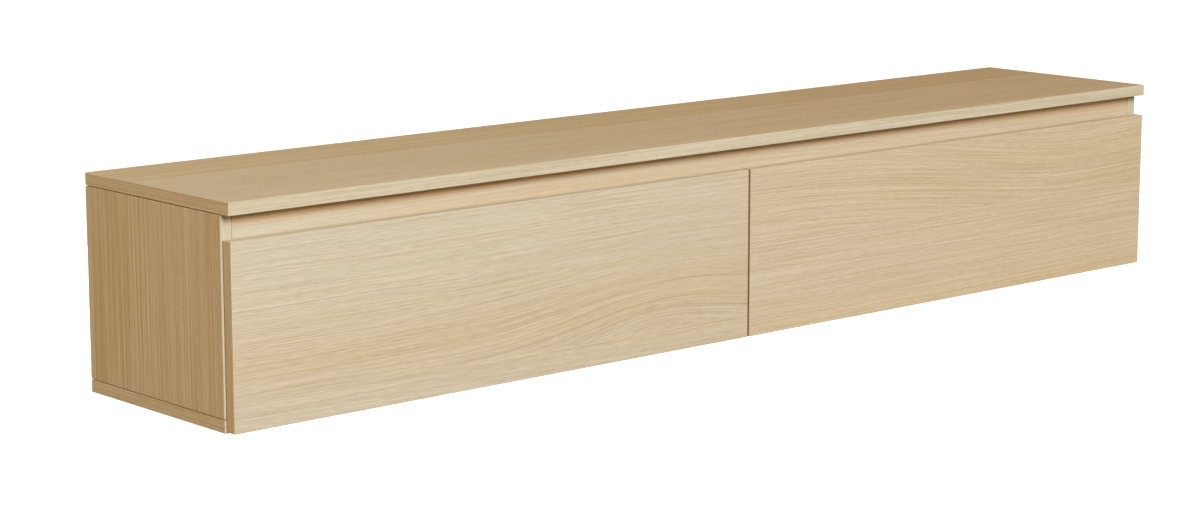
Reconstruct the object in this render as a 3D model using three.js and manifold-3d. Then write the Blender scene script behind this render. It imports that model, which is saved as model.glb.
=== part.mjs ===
// A wall-hung media console in oak-veneered board, 2000 mm long, with two wide drawers below a finger gap.
// Lengths are millimetres and +Z is up. The console hangs on a wall that is the plane y = 0 and its drawers
// face -Y. It is built with its underside at z = 0, then lowered so that the origin is on the wall, at the
// middle of the wall rail.

import * as THREE from "three";
import { mergeVertices } from "three/addons/utils/BufferGeometryUtils.js";
import Module from "manifold-3d";

// Overall size
const width = 2000;
const height = 330;
const depth = 370;

// Boards
const board = 19;
const arris = 1;
const seam = 0.25;

// Drawer fronts and the finger gap above them
const frontGap = 2;
const frontEndInset = 2.25;
const frontBottomInset = 2.25;
const centreGap = 4;
const fingerGap = 36;
const railOverlap = 24;

// Back of the carcass
const backThickness = 6;
const backRecess = 20;
const grooveDepth = 6;
const stretcherHeight = 80;
const outletWidth = 120;
const outletHeight = 50;
const outletCorner = 12;
const outletRise = 60;

// Dowels at the four corners of the carcass
const dowelDiameter = 8;
const dowelLength = 40;
const dowelInBoard = 12;
const dowelEndInset = 60;
const holeClearance = 0.5;

// Drawer boxes
const boxWall = 12;
const boxUnderClearance = 13;
const boxOverClearance = 19;
const boxRearClearance = 19.75;
const boxBottomThickness = 6;
const boxBottomLift = 12;
const boxGroove = 6;

// Three-member runners, one on each side of each drawer
const runnerWidth = 12.25;
const runnerHeight = 45;
const runnerSheet = 1.25;
const runnerPlay = 0.35;
const raceThickness = 3.5;
const runnerSetback = 3;
const runnerRearMargin = 2.25;
const cabinetFlange = 9;
const middleFlange = 7.5;
const drawerFlange = 8.5;

// Screws that hold the drawer fronts and the hangers
const screwShank = 4;
const screwHead = 8;
const screwHeadHeight = 2.25;
const screwHeadEase = 1;
const frontScrewLength = 25;
const hangerScrewLength = 16;
const screwEndInset = 70;
const screwEdgeInset = 45;

// Bumper pads behind the drawer fronts
const bumperDiameter = 10;
const bumperEndInset = 60;

// Wall rail and the hangers that hook into it
const steelSheet = 2.5;
const railFoot = 30;
const railEndPlay = 20;
const railHole = 6;
const railHoleInset = 60;
const railHoleCount = 8;
const hookGap = 2.75;
const hookReach = 18;
const hangerDrop = 10;
const hangerPlate = 30;
const hangerLength = 400;
const hangerEndInset = 240;
const hangerScrewInset = 50;

// Counts and shares
const roundSides = 12;
const cornerSteps = 3;
const mergeTolerance = 0.001;
const overrun = 5;

// Places that several pieces share
const halfWidth = width / 2;
const innerHalf = halfWidth - board;
const carcassFront = -(depth - board - frontGap);
const frontBack = carcassFront - frontGap;
const topUnderside = height - board;
const frontTop = topUnderside - fingerGap;
const railHeight = fingerGap + railOverlap;
const railUnderside = topUnderside - railHeight;
const backRear = -backRecess;
const backFront = backRear - backThickness;
const stretcherFront = backRear - board;
const stretcherUnderside = topUnderside - stretcherHeight;
const partitionHalf = board / 2;
const bayInner = partitionHalf;
const bayOuter = innerHalf;

// Places on the drawer boxes, the same for both bays
const boxInner = bayInner + runnerWidth + 2 * seam;
const boxOuter = bayOuter - runnerWidth - 2 * seam;
const boxFront = frontBack + seam;
const boxBack = backFront - boxRearClearance;
const boxUnderside = board + boxUnderClearance;
const boxTop = railUnderside - boxOverClearance;
const boxBottomUnderside = boxUnderside + boxBottomLift;
const boxBottomTop = boxBottomUnderside + boxBottomThickness;
const innerFrontBack = boxFront + boxWall;
const runnerMiddle = (boxUnderside + boxTop) / 2;
const runnerFront = carcassFront + runnerSetback;
const runnerBack = boxBack - runnerRearMargin;

// Levels of the hanging parts
const hangerPlateTop = topUnderside - hangerDrop;
const hangerPlateBottom = hangerPlateTop - hangerPlate;
const hookTip = hangerPlateBottom - hookReach;
const railFloorTop = hookTip - seam;
const railFlangeTop = hangerPlateBottom - seam;
const railBottom = railFloorTop - railFoot;
const railHalfLength = innerHalf - railEndPlay;
const hookRear = -(steelSheet + hookGap);
const hookFront = hookRear - steelSheet;
const railFlangeRear = hookFront - seam;
const railFlangeFront = railFlangeRear - steelSheet;
const hangerSeat = backRear + seam;
const hangerFace = hangerSeat + steelSheet;
const wallMountLevel = (railBottom + railFloorTop) / 2;

const hands = [
  { name: "left", sign: -1 },
  { name: "right", sign: 1 },
];

// Finishes
const oakFace = new THREE.MeshStandardMaterial({ color: 0xd5c4a0, roughness: 0.55, metalness: 0 });
const oakTop = new THREE.MeshStandardMaterial({ color: 0xc4ac82, roughness: 0.5, metalness: 0 });
const oakEnd = new THREE.MeshStandardMaterial({ color: 0xb59c72, roughness: 0.6, metalness: 0 });
const birch = new THREE.MeshStandardMaterial({ color: 0xdccbab, roughness: 0.6, metalness: 0 });
const beech = new THREE.MeshStandardMaterial({ color: 0xcfa878, roughness: 0.7, metalness: 0 });
const zinc = new THREE.MeshStandardMaterial({ color: 0xb9bcc0, roughness: 0.35, metalness: 1 });
const rubber = new THREE.MeshStandardMaterial({ color: 0xe4e4e0, roughness: 0.5, metalness: 0 });

const wasm = await Module();
wasm.setup();

const axisBasis = {
  x: [new THREE.Vector3(0, 1, 0), new THREE.Vector3(0, 0, 1), new THREE.Vector3(1, 0, 0)],
  y: [new THREE.Vector3(0, 0, 1), new THREE.Vector3(1, 0, 0), new THREE.Vector3(0, 1, 0)],
};

// The stretch between two distances from the middle, on the left or the right.
function stretch(sign, near, far) {
  return sign > 0 ? [near, far] : [-far, -near];
}

function middle(range) {
  return (range[0] + range[1]) / 2;
}

// A mesh whose geometry is centred on its own origin and which is placed by its position.
function placed(geometry, x, y, z) {
  const mesh = new THREE.Mesh(geometry);
  mesh.position.set(x, y, z);
  return mesh;
}

// A rectangle centred on the origin, with its corners cut off.
function chamferedRectangle(sizeX, sizeY, cut) {
  const x = sizeX / 2;
  const y = sizeY / 2;
  return new THREE.Shape([
    new THREE.Vector2(cut - x, -y),
    new THREE.Vector2(x - cut, -y),
    new THREE.Vector2(x, cut - y),
    new THREE.Vector2(x, y - cut),
    new THREE.Vector2(x - cut, y),
    new THREE.Vector2(cut - x, y),
    new THREE.Vector2(-x, y - cut),
    new THREE.Vector2(-x, cut - y),
  ]);
}

// A board between the given ranges, with every edge eased by the arris.
function boardPiece(xs, ys, zs) {
  const shape = chamferedRectangle(xs[1] - xs[0], ys[1] - ys[0], arris);
  const geometry = new THREE.ExtrudeGeometry(shape, {
    depth: zs[1] - zs[0] - 2 * arris,
    bevelEnabled: true,
    bevelThickness: arris,
    bevelSize: arris,
    bevelOffset: -arris,
    bevelSegments: 1,
  });
  geometry.translate(0, 0, arris - (zs[1] - zs[0]) / 2);
  return placed(geometry, middle(xs), middle(ys), middle(zs));
}

// A plain block between the given ranges, with sharp edges.
function block(xs, ys, zs) {
  const geometry = new THREE.BoxGeometry(xs[1] - xs[0], ys[1] - ys[0], zs[1] - zs[0]);
  return placed(geometry, middle(xs), middle(ys), middle(zs));
}

// A round pin or cutter along Y or Z, with its length centred on the given place.
function round(axis, diameter, length, x, y, z) {
  const geometry = new THREE.CylinderGeometry(diameter / 2, diameter / 2, length, roundSides);
  if (axis === "z") geometry.rotateX(Math.PI / 2);
  return placed(geometry, x, y, z);
}

// A section drawn in the two axes that follow the given one, carried along that axis over a range.
function profile(axis, outline, range) {
  const shape = new THREE.Shape(outline.map(([a, b]) => new THREE.Vector2(a, b)));
  const length = range[1] - range[0];
  const geometry = new THREE.ExtrudeGeometry(shape, { depth: length, bevelEnabled: false });
  geometry.translate(0, 0, -length / 2);
  geometry.applyMatrix4(new THREE.Matrix4().makeBasis(...axisBasis[axis]));
  const place = { x: 0, y: 0, z: 0, [axis]: middle(range) };
  return placed(geometry, place.x, place.y, place.z);
}

// A pan-head screw whose shank points to the front. Its seat is the plane under the head.
function screw(shankLength, x, seat, z) {
  const tip = shankLength - screwShank;
  const outline = [
    [0, -screwHeadHeight],
    [screwHead / 2 - screwHeadEase, -screwHeadHeight],
    [screwHead / 2, screwHeadEase - screwHeadHeight],
    [screwHead / 2, 0],
    [screwShank / 2, 0],
    [screwShank / 2, tip],
    [0, shankLength],
  ];
  const points = outline.map(([r, along]) => new THREE.Vector2(r, along));
  const geometry = new THREE.LatheGeometry(points, roundSides);
  geometry.rotateX(Math.PI);
  return placed(geometry, x, seat, z);
}

// The closed solid of a mesh, in the frame of the piece that it cuts or joins.
function solidOf(mesh, origin) {
  const bare = mesh.geometry.index ? mesh.geometry.toNonIndexed() : mesh.geometry.clone();
  bare.deleteAttribute("normal");
  bare.deleteAttribute("uv");
  bare.translate(
    mesh.position.x - origin.x,
    mesh.position.y - origin.y,
    mesh.position.z - origin.z,
  );
  const merged = mergeVertices(bare, mergeTolerance);
  const triVerts = new Uint32Array(merged.index.array);
  const vertProperties = merged.attributes.position.array;
  return new wasm.Manifold(new wasm.Mesh({ numProp: 3, vertProperties, triVerts }));
}

// The piece with every cutter taken out of it.
function carved(piece, cutters) {
  let solid = solidOf(piece, piece.position);
  for (const cutter of cutters) solid = solid.subtract(solidOf(cutter, piece.position));
  const cut = solid.getMesh();
  const geometry = new THREE.BufferGeometry();
  geometry.setAttribute("position", new THREE.BufferAttribute(cut.vertProperties, cut.numProp));
  geometry.setIndex(new THREE.BufferAttribute(cut.triVerts, 1));
  geometry.computeVertexNormals();
  return placed(geometry, piece.position.x, piece.position.y, piece.position.z);
}

const consoleGroup = new THREE.Group();

function add(name, mesh, material) {
  mesh.name = name;
  mesh.material = material;
  consoleGroup.add(mesh);
}

// Corner dowels: one near the front and one near the rear of each joint between a side panel and the
// top or bottom panel. Each reaches into the panel by a set depth and into the side panel's end by the rest.
const dowelX = halfWidth - board / 2;
const dowelPlaces = [
  { name: "front", y: carcassFront + dowelEndInset },
  { name: "rear", y: -dowelEndInset },
];
const dowelLevels = [
  { name: "top", joint: topUnderside, into: 1 },
  { name: "bottom", joint: board, into: -1 },
];

function dowelAt(hand, place, level, clearance) {
  const boardEnd = level.joint + level.into * (dowelInBoard + clearance);
  const sideEnd = level.joint - level.into * (dowelLength - dowelInBoard + clearance);
  const length = Math.abs(boardEnd - sideEnd);
  const diameter = dowelDiameter + 2 * clearance;
  return round("z", diameter, length, hand.sign * dowelX, place.y, (boardEnd + sideEnd) / 2);
}

function dowelHoles(wantedHands, wantedLevels) {
  return wantedHands.flatMap((hand) =>
    dowelPlaces.flatMap((place) =>
      wantedLevels.map((level) => dowelAt(hand, place, level, holeClearance / 2)),
    ),
  );
}

// Carcass
function topPanel() {
  const piece = boardPiece([-halfWidth, halfWidth], [-depth, 0], [topUnderside, height]);
  return carved(piece, dowelHoles(hands, [dowelLevels[0]]));
}

function bottomPanel() {
  const piece = boardPiece([-halfWidth, halfWidth], [carcassFront, 0], [0, board]);
  const groove = block(
    [-innerHalf - grooveDepth, innerHalf + grooveDepth],
    [backFront - seam, backRear + seam],
    [board - grooveDepth, board + overrun],
  );
  return carved(piece, [groove, ...dowelHoles(hands, [dowelLevels[1]])]);
}

function sidePanel(hand) {
  const piece = boardPiece(
    stretch(hand.sign, innerHalf, halfWidth),
    [carcassFront, 0],
    [board + seam, topUnderside - seam],
  );
  const groove = block(
    stretch(hand.sign, innerHalf - overrun, innerHalf + grooveDepth),
    [backFront - seam, backRear + seam],
    [0, stretcherUnderside + grooveDepth],
  );
  return carved(piece, [groove, ...dowelHoles([hand], dowelLevels)]);
}

// The upright between the bays, notched for the front rail and the rear stretcher and rabbeted for the
// two back panels.
function centrePartition() {
  const piece = boardPiece(
    [-partitionHalf, partitionHalf],
    [carcassFront, backRear],
    [board + seam, topUnderside - seam],
  );
  const railNotch = block(
    [-board, board],
    [carcassFront - overrun, carcassFront + board + seam],
    [railUnderside - seam, topUnderside + overrun],
  );
  const stretcherNotch = block(
    [-board, board],
    [stretcherFront - seam, backRear + overrun],
    [stretcherUnderside - seam, topUnderside + overrun],
  );
  const rabbets = hands.map((hand) =>
    block(
      stretch(hand.sign, partitionHalf - grooveDepth, partitionHalf + overrun),
      [backFront - seam, backRear + overrun],
      [0, height],
    ),
  );
  return carved(piece, [railNotch, stretcherNotch, ...rabbets]);
}

function frontRail() {
  return boardPiece(
    [seam - innerHalf, innerHalf - seam],
    [carcassFront, carcassFront + board],
    [railUnderside, topUnderside - seam],
  );
}

function hangerScrewPlaces(hand) {
  const outerEnd = halfWidth - hangerEndInset;
  return [
    { name: "outer", x: hand.sign * (outerEnd - hangerScrewInset) },
    { name: "inner", x: hand.sign * (outerEnd - hangerLength + hangerScrewInset) },
  ];
}

const hangerScrewLevel = (hangerPlateBottom + hangerPlateTop + steelSheet) / 2;
const hangerScrewSeat = hangerFace + seam;

// Clearance holes for the hanger screws, long enough to pass the plate and end blind in the stretcher.
function hangerScrewHoles(wantedHands) {
  const length = hangerScrewLength + overrun;
  const y = hangerScrewSeat + overrun / 2 - length / 2 - holeClearance;
  return wantedHands.flatMap((hand) =>
    hangerScrewPlaces(hand).map((place) =>
      round("y", screwShank + holeClearance, length, place.x, y, hangerScrewLevel),
    ),
  );
}

// The stretcher between the side panels at the top of the back, rabbeted below for the back panels.
function rearStretcher() {
  const piece = boardPiece(
    [seam - innerHalf, innerHalf - seam],
    [stretcherFront, backRear],
    [stretcherUnderside, topUnderside - seam],
  );
  const rabbet = block(
    [-halfWidth, halfWidth],
    [backFront - seam, backRear + overrun],
    [stretcherUnderside - overrun, stretcherUnderside + grooveDepth],
  );
  return carved(piece, [rabbet, ...hangerScrewHoles(hands)]);
}

// A back panel stands in the grooves of a side panel and the bottom panel and in the rabbets of the
// partition and the stretcher. A rounded slot lets the leads of the equipment out.
function backPanel(hand) {
  const xs = stretch(
    hand.sign,
    partitionHalf - grooveDepth + seam,
    innerHalf + grooveDepth - seam,
  );
  const zs = [board - grooveDepth + seam, stretcherUnderside + grooveDepth - seam];
  return carved(block(xs, [backFront, backRear], zs), [outlet(hand)]);
}

// The outline of a cable outlet, a rectangle with round corners, cut through the back panel.
function outlet(hand) {
  const x = hand.sign * middle([bayInner, bayOuter]);
  const halfX = outletWidth / 2 - outletCorner;
  const halfZ = outletHeight / 2 - outletCorner;
  const corners = [
    [halfX, halfZ],
    [-halfX, halfZ],
    [-halfX, -halfZ],
    [halfX, -halfZ],
  ];
  const outline = corners.flatMap(([cornerX, cornerZ], quarter) =>
    Array.from({ length: cornerSteps + 1 }, (_, step) => {
      const angle = (quarter + step / cornerSteps) * (Math.PI / 2);
      return [
        board + outletRise + cornerZ + outletCorner * Math.sin(angle),
        x + cornerX + outletCorner * Math.cos(angle),
      ];
    }),
  );
  return profile("y", outline, [backFront - overrun, backRear + overrun]);
}

add("top_panel", topPanel(), oakTop);
add("bottom_panel", bottomPanel(), oakEnd);
for (const hand of hands) add(`${hand.name}_side_panel`, sidePanel(hand), oakEnd);
add("centre_partition", centrePartition(), oakEnd);
add("front_rail", frontRail(), oakFace);
add("rear_stretcher", rearStretcher(), birch);
for (const hand of hands) add(`${hand.name}_back_panel`, backPanel(hand), birch);

for (const hand of hands) {
  for (const place of dowelPlaces) {
    for (const level of dowelLevels) {
      add(`${level.name}_${hand.name}_${place.name}_dowel`, dowelAt(hand, place, level, 0), beech);
    }
  }
}

// Wall rail: a strip of folded steel whose foot lies on the wall and whose front flange makes the channel
// that the hooks drop into. The foot has a row of holes for the wall screws.
function wallRail() {
  const outline = [
    [0, railBottom],
    [0, railFloorTop],
    [railFlangeRear, railFloorTop],
    [railFlangeRear, railFlangeTop],
    [railFlangeFront, railFlangeTop],
    [railFlangeFront, railFloorTop - steelSheet],
    [-steelSheet, railFloorTop - steelSheet],
    [-steelSheet, railBottom],
  ];
  const piece = profile("x", outline, [-railHalfLength, railHalfLength]);
  const first = railHoleInset - railHalfLength;
  const pitch = (-2 * first) / (railHoleCount - 1);
  const level = (railBottom + railFloorTop - steelSheet) / 2;
  const holes = Array.from({ length: railHoleCount }, (_, index) =>
    round("y", railHole, 2 * overrun, first + index * pitch, -steelSheet / 2, level),
  );
  return carved(piece, holes);
}

// A hanger: a plate screwed to the stretcher, with a hook that drops into the wall rail's channel.
function hanger(hand) {
  const outline = [
    [hangerSeat, hangerPlateBottom],
    [hangerSeat, hangerPlateTop],
    [hangerFace, hangerPlateTop],
    [hangerFace, hangerPlateBottom + steelSheet],
    [hookRear, hangerPlateBottom + steelSheet],
    [hookRear, hookTip],
    [hookFront, hookTip],
    [hookFront, hangerPlateBottom],
  ];
  const outerEnd = halfWidth - hangerEndInset;
  const piece = profile("x", outline, stretch(hand.sign, outerEnd - hangerLength, outerEnd));
  return carved(piece, hangerScrewHoles([hand]));
}

add("wall_rail", wallRail(), zinc);
for (const hand of hands) {
  add(`${hand.name}_hanger`, hanger(hand), zinc);
  for (const place of hangerScrewPlaces(hand)) {
    const mesh = screw(hangerScrewLength, place.x, hangerScrewSeat, hangerScrewLevel);
    add(`${hand.name}_hanger_${place.name}_screw`, mesh, zinc);
  }
}

// Runners. Each is drawn in its section: "along" runs from the carcass wall towards the drawer side, and
// the height runs both ways from the runner's middle line.
const cabinetHalf = runnerHeight / 2;
const middleHalf = cabinetHalf - runnerSheet - runnerPlay;
const drawerHalf = middleHalf - raceThickness - runnerPlay;
const middleWeb = runnerSheet + runnerPlay;

// A channel section that opens away from its web. The web stands at one distance and the flanges reach
// to another.
function channel(web, reach, half, webSheet, flangeSheet) {
  const inside = web + Math.sign(reach - web) * webSheet;
  return [
    [web, half],
    [reach, half],
    [reach, half - flangeSheet],
    [inside, half - flangeSheet],
    [inside, flangeSheet - half],
    [reach, flangeSheet - half],
    [reach, -half],
    [web, -half],
  ];
}

const runnerMembers = [
  {
    name: "cabinet",
    section: channel(0, cabinetFlange, cabinetHalf, runnerSheet, runnerSheet),
  },
  {
    name: "middle",
    section: channel(middleWeb, middleWeb + middleFlange, middleHalf, runnerSheet, raceThickness),
  },
  {
    name: "drawer",
    section: channel(runnerWidth, runnerWidth - drawerFlange, drawerHalf, runnerSheet, runnerSheet),
  },
];

// One member of the runner on a wall. The wall is its distance from the console's middle, and the runner
// stands off it towards the drawer.
function runnerMember(member, hand, wall, towards) {
  const outline = member.section.map(([along, up]) => [
    runnerMiddle + up,
    hand.sign * (wall + towards * (along + seam)),
  ]);
  return profile("y", outline, [runnerFront, runnerBack]);
}

const runnerWalls = [
  { name: "outer", wall: bayOuter, towards: -1 },
  { name: "inner", wall: bayInner, towards: 1 },
];

for (const hand of hands) {
  for (const wall of runnerWalls) {
    for (const member of runnerMembers) {
      const mesh = runnerMember(member, hand, wall.wall, wall.towards);
      add(`${hand.name}_${wall.name}_runner_${member.name}_member`, mesh, zinc);
    }
  }
}

// Drawers
const frontScrewSeat = innerFrontBack + seam;

function frontScrewPlaces(hand) {
  const xs = [boxOuter - screwEndInset, boxInner + screwEndInset];
  const zs = [boxTop - screwEdgeInset, boxBottomTop + screwEdgeInset];
  return xs.flatMap((x) => zs.map((z) => ({ x: hand.sign * x, z })));
}

// Holes for the front screws, which pass the inner front and end blind in the front.
function frontScrewHoles(hand) {
  const length = frontScrewLength + overrun;
  const y = frontScrewSeat + overrun / 2 - length / 2 - holeClearance;
  return frontScrewPlaces(hand).map((place) =>
    round("y", screwShank + holeClearance, length, place.x, y, place.z),
  );
}

function drawerFront(hand) {
  const piece = boardPiece(
    stretch(hand.sign, centreGap / 2, halfWidth - frontEndInset),
    [-depth, frontBack],
    [frontBottomInset, frontTop],
  );
  return carved(piece, frontScrewHoles(hand));
}

// The groove that holds the drawer's bottom, cut all round inside the box and open at the back.
function bottomGroove(hand) {
  return block(
    stretch(hand.sign, boxInner + boxWall - boxGroove, boxOuter - boxWall + boxGroove),
    [innerFrontBack - boxGroove, boxBack + overrun],
    [boxBottomUnderside - seam, boxBottomTop + seam],
  );
}

function innerFront(hand) {
  const piece = boardPiece(
    stretch(hand.sign, boxInner + boxWall + seam, boxOuter - boxWall - seam),
    [boxFront, innerFrontBack],
    [boxUnderside, boxTop],
  );
  return carved(piece, [bottomGroove(hand), ...frontScrewHoles(hand)]);
}

function boxSide(hand, near, far) {
  const piece = boardPiece(
    stretch(hand.sign, near, far),
    [boxFront, boxBack],
    [boxUnderside, boxTop],
  );
  return carved(piece, [bottomGroove(hand)]);
}

function boxBackPiece(hand) {
  return boardPiece(
    stretch(hand.sign, boxInner + boxWall + seam, boxOuter - boxWall - seam),
    [boxBack - boxWall, boxBack],
    [boxBottomTop + seam, boxTop],
  );
}

function boxBottomPiece(hand) {
  const xs = stretch(
    hand.sign,
    boxInner + boxWall - boxGroove + seam,
    boxOuter - boxWall + boxGroove - seam,
  );
  const ys = [innerFrontBack - boxGroove + seam, boxBack];
  return block(xs, ys, [boxBottomUnderside, boxBottomTop]);
}

// Soft pads on the back of each front, which meet the front rail when the drawer shuts.
function bumper(hand, distance) {
  const thickness = frontGap - 2 * seam;
  const z = (railUnderside + frontTop) / 2;
  const y = frontBack + seam + thickness / 2;
  return round("y", bumperDiameter, thickness, hand.sign * distance, y, z);
}

for (const hand of hands) {
  const drawer = `${hand.name}_drawer`;
  add(`${drawer}_front`, drawerFront(hand), oakFace);
  add(`${drawer}_inner_front`, innerFront(hand), birch);
  add(`${drawer}_outer_side`, boxSide(hand, boxOuter - boxWall, boxOuter), birch);
  add(`${drawer}_inner_side`, boxSide(hand, boxInner, boxInner + boxWall), birch);
  add(`${drawer}_back`, boxBackPiece(hand), birch);
  add(`${drawer}_bottom`, boxBottomPiece(hand), birch);
  add(`${drawer}_outer_bumper`, bumper(hand, innerHalf - bumperEndInset), rubber);
  add(`${drawer}_inner_bumper`, bumper(hand, bayInner + bumperEndInset), rubber);
  frontScrewPlaces(hand).forEach((place, index) => {
    const mesh = screw(frontScrewLength, place.x, frontScrewSeat, place.z);
    add(`${drawer}_front_screw_${index + 1}`, mesh, zinc);
  });
}

consoleGroup.position.z = -wallMountLevel;
const part = new THREE.Group();
part.add(consoleGroup);

export default part;
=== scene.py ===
"""Dresses a wall-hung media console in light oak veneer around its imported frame.

The console is 2 m long and faces -Y. It has two wide drawers under a finger gap, on three-member runners,
and hangs from a steel wall rail. Everything is in metres and in the frame's own axes, with the origin on
the wall at the middle of the rail.
"""

import logging
import math
from dataclasses import dataclass, field, replace
from enum import Enum
from typing import Sequence

import bmesh
import bpy
import numpy as np
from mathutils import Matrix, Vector


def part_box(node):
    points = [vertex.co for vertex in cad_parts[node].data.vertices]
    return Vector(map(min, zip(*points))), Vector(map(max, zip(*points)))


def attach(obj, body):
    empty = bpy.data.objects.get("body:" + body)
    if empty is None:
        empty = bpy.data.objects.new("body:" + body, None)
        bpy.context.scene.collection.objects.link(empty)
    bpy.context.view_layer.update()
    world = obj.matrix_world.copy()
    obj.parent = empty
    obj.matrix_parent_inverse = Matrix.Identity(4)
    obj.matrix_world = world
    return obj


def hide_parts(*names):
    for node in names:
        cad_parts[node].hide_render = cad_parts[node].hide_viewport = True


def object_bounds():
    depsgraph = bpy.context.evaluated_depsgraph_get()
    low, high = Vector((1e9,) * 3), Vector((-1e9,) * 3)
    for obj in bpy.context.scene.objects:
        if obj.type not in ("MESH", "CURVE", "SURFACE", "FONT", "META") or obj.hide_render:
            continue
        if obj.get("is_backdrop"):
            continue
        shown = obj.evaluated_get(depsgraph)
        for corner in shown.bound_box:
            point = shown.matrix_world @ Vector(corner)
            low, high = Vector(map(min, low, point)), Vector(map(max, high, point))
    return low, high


Socket = bpy.types.NodeSocket
Triple = tuple[float, float, float]
Colour = Triple
Span = tuple[float, float]
Rgba = tuple[float, float, float, float]

LOG = logging.getLogger("console")
MM = 0.001
NO_LENGTH = 1e-9
WHITE = (1.0, 1.0, 1.0, 1.0)

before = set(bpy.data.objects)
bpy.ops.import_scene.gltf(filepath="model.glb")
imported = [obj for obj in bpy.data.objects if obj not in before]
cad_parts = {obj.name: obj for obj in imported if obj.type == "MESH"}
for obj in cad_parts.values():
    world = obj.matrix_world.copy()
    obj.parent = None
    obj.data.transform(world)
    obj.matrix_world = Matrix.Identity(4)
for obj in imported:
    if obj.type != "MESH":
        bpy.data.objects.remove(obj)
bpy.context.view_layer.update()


def linear(red: float, green: float, blue: float) -> Rgba:
    """Turns a colour as it is seen, 0 to 255, into the linear values that a socket holds.

    A share c of full brightness becomes ((c + 0.055) / 1.055) to the power of 2.4, or c / 12.92 near black.

    Args:
        red, green, blue: the display values.

    Returns:
        Linear red, green and blue with an alpha of one.
    """
    values = [c / 255 for c in (red, green, blue)]
    bent = [c / 12.92 if c <= 0.04045 else ((c + 0.055) / 1.055) ** 2.4 for c in values]
    return (bent[0], bent[1], bent[2], 1.0)


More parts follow.
